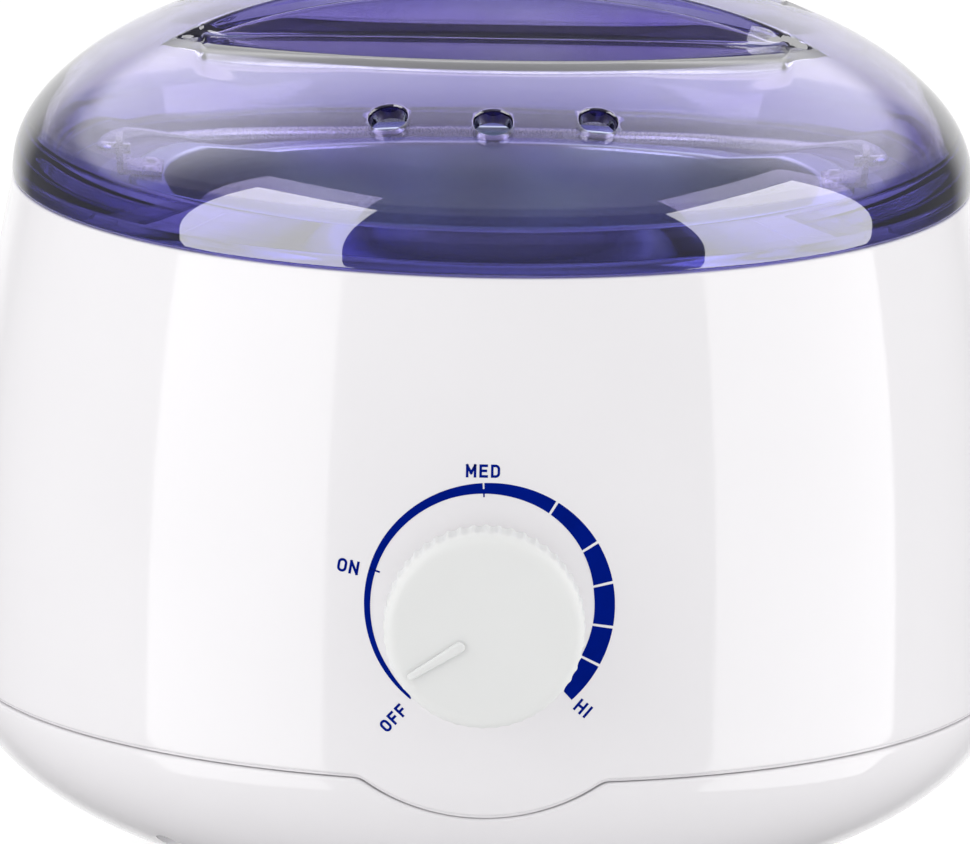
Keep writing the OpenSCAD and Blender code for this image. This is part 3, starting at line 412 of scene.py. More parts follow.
class Nodes:
    """A node tree under construction, with short ways to add and join its nodes."""

    def __init__(self, tree: bpy.types.NodeTree) -> None:
        """Keeps the tree that the nodes go into."""
        self.tree = tree

    def link(self, source: Socket, target: Socket) -> None:
        """Joins one socket to another."""
        self.tree.links.new(source, target)

    def node(self, kind: str, *inputs: Any, **settings: Any) -> bpy.types.Node:
        """Adds a node.

        Args:
            kind: The node's type.
            *inputs: What goes into its sockets in order: a socket, a value, or None to leave one alone.
            **settings: Properties of the node.

        Returns:
            The node.
        """
        made = self.tree.nodes.new(kind)
        for key, value in settings.items():
            setattr(made, key, value)
        open_sockets = [s for s in made.inputs if s.enabled]
        for socket, value in zip(open_sockets, inputs):
            if isinstance(value, Socket):
                self.link(value, socket)
            elif value is not None:
                socket.default_value = value
        return made

    def math(self, operation: str, *inputs: Any) -> Socket:
        """Adds a sum on one or more numbers and returns its result."""
        return self.node("ShaderNodeMath", *inputs, operation=operation).outputs[0]


class Tree(Nodes):
    """A Geometry Nodes tree that is built, run on a piece and left as a plain mesh."""

    def __init__(self, name: str) -> None:
        """Starts an empty tree with a geometry input and output."""
        super().__init__(bpy.data.node_groups.new(name, "GeometryNodeTree"))
        self.ids: dict[str, str] = {}
        self.take("NodeSocketGeometry", "Geometry")
        self.tree.interface.new_socket("Geometry", in_out="OUTPUT", socket_type="NodeSocketGeometry")
        self.entry = self.tree.nodes.new("NodeGroupInput")
        self.exit = self.tree.nodes.new("NodeGroupOutput")

    def take(self, kind: str, *names: str) -> None:
        """Adds named inputs of a kind."""
        for name in names:
            self.ids[name] = self.tree.interface.new_socket(name, in_out="INPUT", socket_type=kind).identifier

    def given(self, name: str) -> Socket:
        """The socket that hands a named input to the nodes."""
        return next(s for s in self.entry.outputs if s.identifier == self.ids[name])

    def finish(self, shape: Socket) -> None:
        """Realizes the tree's shape, gives it the material of the input Finish and sends it out.

        Args:
            shape: The socket with the shape.
        """
        self.take("NodeSocketMaterial", "Finish")
        real = self.node("GeometryNodeRealizeInstances", shape)
        done = self.node("GeometryNodeSetMaterial", real.outputs[0])
        self.link(self.given("Finish"), done.inputs["Material"])
        self.link(done.outputs[0], self.exit.inputs[0])

    def run(self, piece: Object, **values: Any) -> None:
        """Runs the tree on a piece and keeps the result as the piece's own mesh.

        Args:
            piece: The object that the tree shapes.
            **values: A value for each named input, with spaces written as underscores.
        """
        shaper = piece.modifiers.new("shape", "NODES")
        shaper.node_group = self.tree
        for name, value in values.items():
            shaper[self.ids[name.replace("_", " ")]] = value
        settle(piece)


def ring_tree() -> Tree:
    """A tree that sets copies of a piece at even steps round the body's axis.

    Returns:
        The tree, with inputs Piece, Count, Radius, First Turn, Step, Height and Axis Y.
    """
    tree = Tree("copies_on_a_ring")
    tree.take("NodeSocketObject", "Piece")
    tree.take("NodeSocketInt", "Count")
    tree.take("NodeSocketFloat", "Radius", "First Turn", "Step", "Height", "Axis Y")
    index = tree.node("GeometryNodeInputIndex").outputs[0]
    turn = tree.math("MULTIPLY_ADD", index, tree.given("Step"), tree.given("First Turn"))
    x = tree.math("MULTIPLY", tree.math("COSINE", turn), tree.given("Radius"))
    y = tree.math("MULTIPLY_ADD", tree.math("SINE", turn), tree.given("Radius"), tree.given("Axis Y"))
    spot = tree.node("ShaderNodeCombineXYZ", x, y, tree.given("Height")).outputs[0]
    points = tree.node("GeometryNodePoints", tree.given("Count"), spot).outputs[0]
    facing = tree.node("ShaderNodeCombineXYZ", 0.0, 0.0, turn).outputs[0]
    facing = tree.node("FunctionNodeEulerToRotation", facing).outputs[0]
    source = tree.node("GeometryNodeObjectInfo", tree.given("Piece")).outputs["Geometry"]
    copies = tree.node("GeometryNodeInstanceOnPoints")
    for name, socket in (("Points", points), ("Instance", source), ("Rotation", facing)):
        tree.link(socket, copies.inputs[name])
    tree.finish(copies.outputs[0])
    return tree


def copied(
    tree: Tree, name: str, source: Object, radius: float, z: float, turns: Sequence[float], **more: Any
) -> Object:
    """Sets copies of a piece at even steps on a ring round the body's axis.

    Args:
        tree: The tree that sets them.
        name: Name of the result.
        source: The piece to copy, removed afterwards.
        radius: Radius of the ring.
        z: Height of the copies.
        turns: Where they stand, in degrees anticlockwise from the right, at even steps.
        **more: The tree's Finish, if they get one.

    Returns:
        One object with all the copies.
    """
    holder = object_of(name, bpy.data.meshes.new(name))
    tree.run(
        holder,
        Piece=source,
        Count=len(turns),
        Radius=radius * MM,
        First_Turn=math.radians(turns[0]),
        Step=math.radians(turns[1] - turns[0]),
        Height=z * MM,
        Axis_Y=AXIS_Y * MM,
        **more,
    )
    bpy.data.objects.remove(source)
    return holder


def flute_tree() -> Tree:
    """A tree that presses even grooves into a turned grip whose axis lies along Y.

    Returns:
        The tree, with inputs Count, Depth, Share, Middle Z, Near Y, Far Y, Run Out and Least Radius.
    """
    tree = Tree("flutes_round_a_grip")
    names = ("Count", "Depth", "Share", "Middle Z", "Near Y", "Far Y", "Run Out", "Least Radius")
    tree.take("NodeSocketFloat", *names)
    count, depth, share, middle_z, near_y, far_y, run_out, least_r = (tree.given(n) for n in names)
    work = tree.math
    place = tree.node("GeometryNodeInputPosition").outputs[0]
    apart = tree.node("ShaderNodeSeparateXYZ", place).outputs
    rise = work("SUBTRACT", apart[2], middle_z)
    turn = work("ARCTAN2", rise, apart[0])
    away = work("SQRT", work("ADD", work("MULTIPLY", rise, rise), work("MULTIPLY", apart[0], apart[0])))
    phase = work("FRACT", work("MULTIPLY_ADD", turn, work("DIVIDE", count, 2 * math.pi), 100.0))
    off = work("DIVIDE", work("ABSOLUTE", work("SUBTRACT", phase, 0.5)), share)
    bowl = work("MAXIMUM", work("SUBTRACT", 1.0, work("MULTIPLY", off, off)), 0.0)
    back = work("DIVIDE", work("SUBTRACT", far_y, apart[1]), run_out)
    front = work("DIVIDE", work("SUBTRACT", apart[1], near_y), run_out)
    along = tree.node("ShaderNodeClamp", work("MINIMUM", back, front), 0.0, 1.0).outputs[0]
    outer = work("GREATER_THAN", away, least_r)
    press = work("MULTIPLY", work("MULTIPLY", bowl, depth), work("MULTIPLY", along, outer))
    inward = work("DIVIDE", work("MULTIPLY", press, -1.0), away)
    across, up = work("MULTIPLY", apart[0], inward), work("MULTIPLY", rise, inward)
    shift = tree.node("ShaderNodeCombineXYZ", across, 0.0, up)
    moved = tree.node("GeometryNodeSetPosition")
    tree.link(tree.given("Geometry"), moved.inputs["Geometry"])
    tree.link(shift.outputs[0], moved.inputs["Offset"])
    tree.finish(moved.outputs[0])
    return tree


# Finishes


class Wear(Enum):
    """How evenly a surface shines: the share by which its roughness wanders."""

    NEW = 0.12
    HANDLED = 0.3
    RAW = 0.55


class Shader(Nodes):
    """A material under construction, round one Principled shader."""

    def __init__(self, name: str) -> None:
        """Starts a material with a Principled shader on its output."""
        self.material = bpy.data.materials.new(name)
        self.material.use_nodes = True
        super().__init__(self.material.node_tree)
        self.tree.nodes.clear()
        self.out = self.tree.nodes.new("ShaderNodeOutputMaterial")
        self.skin = self.tree.nodes.new("ShaderNodeBsdfPrincipled")
        self.link(self.skin.outputs[0], self.out.inputs["Surface"])

    def feed(self, name: str, source: Socket) -> None:
        """Joins a socket to one of the Principled shader's own, by its name."""
        self.link(source, self.skin.inputs[name])

    def worn(self, by: Socket, roughness: float, wear: Wear) -> None:
        """Lets the roughness wander with a noise, as far as the wear says."""
        spread = roughness * wear.value
        self.feed("Roughness", self.ranged(by, roughness - spread, roughness + spread))

    def place(self, scale: Sequence[float] = (1, 1, 1), shift: Sequence[float] = (0, 0, 0)) -> Socket:
        """Object coordinates, shifted and scaled.

        Args:
            scale: Factor for each axis.
            shift: What is added on each axis, in metres.

        Returns:
            The socket with the coordinates.
        """
        spot = self.node("ShaderNodeTexCoord").outputs["Object"]
        mapping = self.node("ShaderNodeMapping", spot)
        mapping.inputs["Location"].default_value = shift
        mapping.inputs["Scale"].default_value = scale
        return mapping.outputs[0]

    def noise(self, spot: Socket, scale: float, detail: float = 3.0) -> Socket:
        """A noise of a scale, in features to the metre.

        Args:
            spot: The coordinates that it follows.
            scale: Its features to the metre.
            detail: How much finer detail it has.

        Returns:
            The socket with its level.
        """
        made = self.node("ShaderNodeTexNoise", spot)
        made.inputs["Scale"].default_value = scale
        made.inputs["Detail"].default_value = detail
        return made.outputs["Fac"]

    def ranged(self, value: Socket, low: float, high: float, start: float = 0.3, end: float = 0.7) -> Socket:
        """Maps a value's middle range to another."""
        return self.node("ShaderNodeMapRange", value, start, end, low, high).outputs[0]

    def blended(self, factor: Socket, one: Sequence[float], two: Sequence[float]) -> Socket:
        """A colour between two, by a factor.

        Args:
            factor: The socket with the factor.
            one: The linear colour at 0.
            two: The linear colour at 1.

        Returns:
            The socket with the colour.
        """
        mix = self.node("ShaderNodeMix", data_type="RGBA")
        self.link(factor, mix.inputs["Factor"])
        mix.inputs["A"].default_value = (*one, 1)
        mix.inputs["B"].default_value = (*two, 1)
        return mix.outputs["Result"]

    def bumped(self, height: Socket, depth_mm: float) -> None:
        """Sends a height to the shader as a bump of a depth.

        Args:
            height: The socket with the height.
            depth_mm: The bump's depth.
        """
        bump = self.node("ShaderNodeBump")
        bump.inputs["Strength"].default_value = 1.0
        bump.inputs["Distance"].default_value = depth_mm * MM
        self.link(height, bump.inputs["Height"])
        self.feed("Normal", bump.outputs[0])

    def set(self, **values: Any) -> None:
        """Sets constants on the Principled shader's own sockets."""
        for name, value in values.items():
            self.skin.inputs[name.replace("_", " ")].default_value = value


def tinted(colour: Sequence[float], by: float) -> Colour:
    """A colour made lighter or darker by a share."""
    return tuple(min(1.0, max(0.0, c * (1 + by))) for c in colour)


@dataclass(frozen=True)
class Moulded:
    """A moulded plastic, ceramic or rubber, with a faint flow of tone and a fine skin.

    Args:
        name: Name of the material.
        colour: Its base colour, linear.
        roughness: Its middle roughness.
        wear: How much the roughness wanders.
        tone: Share by which the colour wanders.
        flow_mm: Width of a patch of tone.
        grain_mm: Width of the skin's grain.
        grain_depth_mm: Depth of the grain.
        coat: Weight of a clear gloss over it.
        depth: Weight of light that enters and spreads.
        depth_mm: How far that light spreads.
        shine: Level of its reflection, where 0.5 is a plain plastic's.
    """

    name: str
    colour: Colour
    roughness: float = 0.35
    wear: Wear = Wear.NEW
    tone: float = 0.02
    flow_mm: float = 30.0
    grain_mm: float = 0.6
    grain_depth_mm: float = 0.01
    coat: float = 0.0
    depth: float = 0.0
    depth_mm: float = 2.0
    shine: float = 0.5

    def material(self) -> Material:
        """Builds the material.

        Returns:
            The material.
        """
        look = Shader(self.name)
        spot = look.place()
        flow = look.noise(spot, 1000 / self.flow_mm, 2.0)
        dark, light = tinted(self.colour, -self.tone), tinted(self.colour, self.tone)
        look.feed("Base Color", look.blended(look.ranged(flow, 0, 1), dark, light))
        look.worn(look.noise(spot, 3000 / self.flow_mm, 4.0), self.roughness, self.wear)
        look.bumped(look.noise(spot, 1000 / self.grain_mm, 2.0), self.grain_depth_mm)
        look.set(Coat_Weight=self.coat, Coat_Roughness=0.04, Specular_IOR_Level=self.shine)
        if self.depth > 0:
            look.set(Subsurface_Weight=self.depth, Subsurface_Scale=self.depth_mm * MM)
            look.set(Subsurface_Radius=(1.0, 0.95, 0.9))
        return look.material


class Lay(Enum):
    """Which way the marks of working run on a metal."""

    TURNED = "round the body's axis"
    DRAWN = "along X"
    TUMBLED = "no way"


@dataclass(frozen=True)
class Metal:
    """A bare or plated metal with the marks of its making.

    Args:
        name: Name of the material.
        colour: Its reflection colour, linear.
        roughness: Its middle roughness.
        lay: Which way its marks run.
        mark_mm: Width of a mark.
        mark_depth_mm: Depth of a mark.
        wear: How much the roughness wanders.
        dull: Share by which patches are darker.
    """

    name: str
    colour: Colour
    roughness: float = 0.3
    lay: Lay = Lay.TUMBLED
    mark_mm: float = 0.4
    mark_depth_mm: float = 0.01
    wear: Wear = Wear.HANDLED
    dull: float = 0.08

    def marks(self, look: Shader) -> Socket:
        """Coordinates that are short across the marks and long along them.

        Args:
            look: The material that they belong to.

        Returns:
            The socket with the coordinates.
        """
        if self.lay is Lay.TUMBLED:
            return look.place()
        if self.lay is Lay.DRAWN:
            return look.place(scale=(0.02, 1.0, 1.0))
        apart = look.node("ShaderNodeSeparateXYZ", look.place(shift=(0, -AXIS_Y * MM, 0))).outputs
        squares = [look.math("MULTIPLY", apart[k], apart[k]) for k in (0, 1)]
        away = look.math("SQRT", look.math("ADD", *squares))
        return look.node("ShaderNodeCombineXYZ", away, 0.0, apart[2]).outputs[0]

    def material(self) -> Material:
        """Builds the material.

        Returns:
            The material.
        """
        look = Shader(self.name)
        run = self.marks(look)
        fine = look.noise(run, 1000 / self.mark_mm)
        broad = look.noise(look.place(), 90.0)
        tone = look.blended(look.ranged(broad, 0, 1), tinted(self.colour, -self.dull), self.colour)
        look.feed("Base Color", tone)
        look.worn(fine, self.roughness, self.wear)
        look.bumped(fine, self.mark_depth_mm)
        look.set(Metallic=1.0)
        return look.material


@dataclass(frozen=True)
class Clear:
    """A clear plastic or glass that deepens with its thickness, with painted shade in its skin colour.

    Args:
        name: Name of the material.
        colour: Colour that a thick piece tends to, linear.
        density: How fast it gets there, to the metre.
        levels: Heights in millimetres, from the lowest, and the linear colour of its skin at each, where
            darker levels carry painted shade.
        streak: Tint of its flow streaks, linear.
        vent_wall_shade: Painted shade on the vents' walls, a linear colour that multiplies their skin.
        passes: Share of the light that goes through and isn't scattered.
        gloss: Weight of the polished skin that mirrors the lights.
        roughness: Its roughness.
        ior: Its refractive index.
        shade: Colour of the light that it lets through to what is under it.
    """

    name: str
    colour: Colour
    density: float
    levels: tuple[tuple[float, Colour], ...]
    streak: Colour = (0.74, 0.66, 0.98)
    # Painted shade on the vents' walls.
    vent_wall_shade: Colour = (0.12, 0.10, 0.30)
    passes: float = 1.0
    gloss: float = 0.3
    roughness: float = 0.02
    ior: float = 1.49
    shade: Colour = (0.8, 0.8, 0.9)

    def material(self) -> Material:
        """Builds the material, with a soft shadow that lets its own colour through.

        Returns:
            The material.
        """
        look = Shader(self.name)
        spot = look.place()
        look.set(Transmission_Weight=self.passes, IOR=self.ior)
        look.set(Coat_Weight=self.gloss, Coat_IOR=3.0, Coat_Roughness=0.01)
        wave_scale, streak_scale, streak_stretch = 60.0, 22.0, 3.5
        waves = look.noise(spot, wave_scale, 1.0)
        # The skin's colour follows the levels by height; darker levels carry painted shade.
        height = look.node("ShaderNodeSeparateXYZ", spot).outputs[2]
        low, high = self.levels[0][0], self.levels[-1][0]
        scale = look.node("ShaderNodeValToRGB", look.ranged(height, 0.0, 1.0, low * MM, high * MM))
        stops = scale.color_ramp.elements
        for k, (z, tint_and_shade) in enumerate(self.levels):
            inside = 0 < k < len(self.levels) - 1
            stop = stops.new((z - low) / (high - low)) if inside else stops[0 if k == 0 else -1]
            stop.color = (*tint_and_shade, 1)
        streaks = look.noise(look.place(scale=(1.0, 1.0, streak_stretch)), streak_scale)
        streaks = look.blended(look.ranged(streaks, 0.0, 1.0, 0.45, 0.72), (1, 1, 1), self.streak)
        # Painted shade: the vents' walls, marked by the mesh's cut attribute, are darkened towards this
        # colour.
        cuts = look.node("ShaderNodeAttribute", attribute_name="cut").outputs["Fac"]
        dark = look.blended(cuts, (1, 1, 1), self.vent_wall_shade)
        tint_and_shade = scale.outputs["Color"]
        for layer in (streaks, dark):
            mix = look.node("ShaderNodeMix", data_type="RGBA", blend_type="MULTIPLY")
            mix.inputs["Factor"].default_value = 1.0
            look.link(tint_and_shade, mix.inputs["A"])
            look.link(layer, mix.inputs["B"])
            tint_and_shade = mix.outputs["Result"]
        look.feed("Base Color", tint_and_shade)
        look.worn(waves, self.roughness, Wear.HANDLED)
        look.bumped(waves, 0.02)
        lets = look.node("ShaderNodeBsdfTransparent", (*self.shade, 1))
        mix = look.node("ShaderNodeMixShader")
        path = look.node("ShaderNodeLightPath")
        look.link(path.outputs["Is Shadow Ray"], mix.inputs[0])
        look.link(look.skin.outputs[0], mix.inputs[1])
        look.link(lets.outputs[0], mix.inputs[2])
        look.link(mix.outputs[0], look.out.inputs["Surface"])
        if self.density > 0:
            takes = look.node("ShaderNodeVolumeAbsorption")
            takes.inputs["Color"].default_value = (*self.colour, 1)
            takes.inputs["Density"].default_value = self.density
            look.link(takes.outputs[0], look.out.inputs["Volume"])
        return look.material


@dataclass(frozen=True)
class Banded:
    """A lacquered bead with coloured rings round X, for the small resistor.

    Args:
        name: Name of the material.
        colour: The lacquer, linear.
        ring: The rings' colour, linear.
        step_mm: Distance between rings.
    """

    name: str
    colour: Colour
    ring: Colour
    step_mm: float = 1.6

    def material(self) -> Material:
        """Builds the material.

        Returns:
            The material.
        """
        look = Shader(self.name)
        wave = look.node("ShaderNodeTexWave", look.place(), wave_type="BANDS", bands_direction="X")
        wave.inputs["Scale"].default_value = 1000 / self.step_mm / 20 * math.pi
        hard = look.ranged(wave.outputs["Fac"], 0, 1, 0.7, 0.75)
        look.feed("Base Color", look.blended(hard, self.colour, self.ring))
        look.bumped(look.noise(look.place(), 2500.0), 0.01)
        look.set(Roughness=0.3)
        return look.material


@dataclass(frozen=True)
class Lamp:
    """A small lamp's glass with a warm glow behind it.

    Args:
        name: Name of the material.
        colour: Colour of the glow, linear.
        glow: Strength of the glow.
    """

    name: str
    colour: Colour
    glow: float = 0.4

    def material(self) -> Material:
        """Builds the material.

        Returns:
            The material.
        """
        look = Shader(self.name)
        cloud = look.noise(look.place(), 500.0)
        tone = look.blended(look.ranged(cloud, 0, 1), self.colour, tinted(self.colour, 0.2))
        look.feed("Base Color", tone)
        look.feed("Emission Color", tone)
        look.set(Emission_Strength=self.glow, Roughness=0.08, Transmission_Weight=0.3)
        return look.material


SHELL = Moulded("shell_white", (0.80, 0.785, 0.805), 0.07, Wear.NEW, 0.012, 60.0, 1.4, 0.0006, shine=0.25)
MILK = (0.74, 0.745, 0.74)
KNOB = Moulded("knob_milk", MILK, 0.34, Wear.NEW, 0.01, 20.0, 0.5, 0.002, depth=0.25, shine=0.08)
INK = Moulded("ink_navy", (0.0005, 0.009, 0.195), 0.6, Wear.NEW, 0.08, 5.0, 0.3, 0.001, shine=0.0)
# The lid's skin colour by height. The rim band is darker, partly for its thickness and partly as painted
# shade for the shaded housing rim seen through it. The dome is light, and it darkens again towards the
# ridge's top.
LID_TINT_AND_SHADE_LEVELS = (
    (117.5, (0.18, 0.165, 0.48)),
    (127.1, (0.34, 0.33, 0.66)),
    (127.4, (0.84, 0.81, 0.92)),
    (143.0, (0.84, 0.81, 0.92)),
    (149.0, (0.56, 0.54, 0.74)),
)
LID = Clear("lid_violet", (0.42, 0.40, 0.74), 85.0, LID_TINT_AND_SHADE_LEVELS, passes=0.986, shade=(0.74, 0.73, 0.84))
POT = Metal("pot_spun", (0.70, 0.79, 0.81), 0.24, Lay.TURNED, 0.5, 0.0012, Wear.NEW)


def finishes() -> dict[str, Any]:
    """The finish of each of the record's material slots.

    Returns:
        A finish by each slot's name.
    """
    return {
        "shell": SHELL,
        "lid": LID,
        "knob": KNOB,
        "pot": POT,
        "aluminium": Metal("aluminium_pressed", (0.80, 0.81, 0.82), 0.34, Lay.TURNED, 0.5, 0.006),
        "steel": Metal("steel_plated", (0.62, 0.63, 0.64), 0.28, Lay.TUMBLED, 0.3, 0.004),
        "rubber": Moulded("rubber_grey", (0.03, 0.03, 0.032), 0.62, Wear.RAW, 0.15, 8.0, 0.35, 0.02),
        "mica": Moulded("mica_sheet", (0.55, 0.47, 0.34), 0.38, Wear.RAW, 0.25, 6.0, 1.2, 0.02, 0.15),
        "brass": Metal("brass_pressed", (0.80, 0.60, 0.28), 0.3, Lay.DRAWN, 0.25, 0.004),
        "ceramic": Moulded("ceramic_steatite", (0.80, 0.78, 0.70), 0.42, Wear.HANDLED, 0.05, 4.0, 0.3, 0.01),
        "bimetal": Metal(
            "bimetal_heat_tinted", (0.48, 0.42, 0.38), 0.36, Lay.DRAWN, 0.25, 0.004, Wear.RAW, 0.3
        ),
        "fuse_can": Metal("fuse_tinned", (0.72, 0.70, 0.66), 0.25, Lay.DRAWN, 0.2, 0.003),
        "glass_sleeve": Moulded("sleeve_glass_braid", (0.78, 0.76, 0.70), 0.7, Wear.RAW, 0.1, 2.0, 0.5, 0.08),
        "lamp_glass": Lamp("lamp_amber", (0.9, 0.35, 0.12)),
        "lamp_socket": Moulded(
            "lamp_socket_nylon", (0.72, 0.72, 0.68), 0.4, Wear.HANDLED, 0.03, 5.0, 0.4, 0.01
        ),
        "resistor": Banded("resistor_lacquer", (0.58, 0.42, 0.26), (0.35, 0.02, 0.02)),
        "block": Moulded("block_ceramic", (0.78, 0.77, 0.72), 0.35, Wear.HANDLED, 0.04, 6.0, 0.3, 0.01),
        "lead_brown": Moulded("lead_red", (0.42, 0.03, 0.025), 0.42, Wear.HANDLED, 0.1, 12.0, 0.4, 0.01),
        "lead_blue": Moulded("lead_blue", (0.03, 0.08, 0.42), 0.42, Wear.HANDLED, 0.1, 12.0, 0.4, 0.01),
        "lead_thin": Moulded("lead_yellow", (0.72, 0.50, 0.06), 0.42, Wear.HANDLED, 0.1, 12.0, 0.4, 0.01),
    }


# Sub-assemblies


@dataclass
class BodyForm:
    """The barrel form that the housing and the base share.

    Args:
        widest_r: Radius at the seam's level.
        rim_r: Radius at the top rim.
        seam_z: Height of the seam.
        rim_z: Height of the top rim.
        power: Power of the side's curve.
        under_h: Height of the underside's curve.
        foot_h: Height of the underside's flat.
        wall: Wall thickness.
        dial_z: Height of the dial's axis.
        dip_r: Radius of the dip below the dial.
        gap: Width of the open line along the seam.
        post_ring_r: Radius of the ring of screw posts.
    """

    widest_r: float = 90.0
    rim_r: float = 82.8
    seam_z: float = 31.0
    rim_z: float = 117.0
    power: float = 2.4
    under_h: float = 36.0
    foot_h: float = 4.0
    wall: float = 2.5
    dial_z: float = 62.0
    dip_r: float = 37.4
    gap: float = 0.7
    post_ring_r: float = 74.0

    def side_r(self, z: Array) -> Array:
        """Outer radius at a height, above or below the seam.

        Args:
            z: The heights.

        Returns:
            The radius at each.
        """
        up = np.clip((np.asarray(z, float) - self.seam_z) / (self.rim_z - self.seam_z), 0, None)
        down = np.clip((self.seam_z - np.asarray(z, float)) / self.under_h, 0, 1)
        above = self.widest_r - (self.widest_r - self.rim_r) * up**self.power
        return np.where(up > 0, above, self.widest_r * np.sqrt(1 - down**2))

    def lining_r(self, z: Array) -> Array:
        """Inner radius at a height.

        Args:
            z: The heights.

        Returns:
            The radius at each.
        """
        down = np.clip((self.seam_z - np.asarray(z, float)) / (self.under_h - self.wall), 0, 1)
        above, below = self.side_r(z) - self.wall, (self.widest_r - self.wall) * np.sqrt(1 - down**2)
        return np.where(np.asarray(z) > self.seam_z, above, below)

    def seam(self, x: Array, away: float) -> Array:
        """Height of the seam at a distance to the side of the dial.

        Args:
            x: Distance to the side of the dial's axis.
            away: How far below the seam's middle line, or above if negative.

        Returns:
            The height, with the dip's corners eased.
        """
        r = self.dip_r + away
        dip = self.dial_z - np.sqrt(np.clip(r * r - x * x, 1.0, None))
        dip = np.where(np.abs(x) < r, dip, self.seam_z + 50)
        line = np.full_like(dip, self.seam_z - away)
        ease = 0.7
        h = np.clip(0.5 + 0.5 * (dip - line) / ease, 0, 1)
        return dip * (1 - h) + line * h - ease * h * (1 - h)

    def seam_round(self, away: float) -> Array:
        """Height of the seam at each column, with its dip in front alone and away as in seam."""
        turn = self.turns()
        return np.where(np.cos(turn) > 0, self.seam(self.widest_r * np.sin(turn), away), self.seam_z - away)

    def turns(self) -> Array:
        """Turns of the columns, closer together at the dip.

        Returns:
            The turns in radians, from the front, anticlockwise as seen from above.
        """
        near, near_columns, other_columns = math.radians(17.0), 120, 380
        front = np.linspace(-near, near, near_columns, endpoint=False)
        rest = np.linspace(near, 2 * np.pi - near, other_columns, endpoint=False)
        return np.concatenate([front, rest])

    def level(self, outline: Outline) -> list[tuple[Array, Array]]:
        """Rows of columns that are the same all round, one for each point of an outline."""
        turn = self.turns()
        return [(np.full_like(turn, r), np.full_like(turn, z)) for r, z in outline]

    def wall_mesh(self, name: str, rows: Sequence[tuple[Array, Array]]) -> Mesh:
        """Makes a shell of its rows.

        Args:
            name: Name of the mesh.
            rows: Radius and height of each row's columns.

        Returns:
            The shell's closed mesh.
        """
        turn = self.turns()
        points = [np.stack([r * np.sin(turn), -r * np.cos(turn), z], 1) for r, z in rows]
        return mesh_of(name, [Sheet(np.stack(points), True, True)])

    def on_side(self, x: Array, z: Array, out: float = 0.0) -> Array:
        """Points on the front of the side, above a place in the front view.

        Args:
            x: Distances to the side.
            z: Heights.
            out: How far outside the side the points lie.

        Returns:
            An array of points.
        """
        r = self.side_r(z) + out
        return np.stack([x, -np.sqrt(np.clip(r * r - x * x, 0, None)), z], -1)


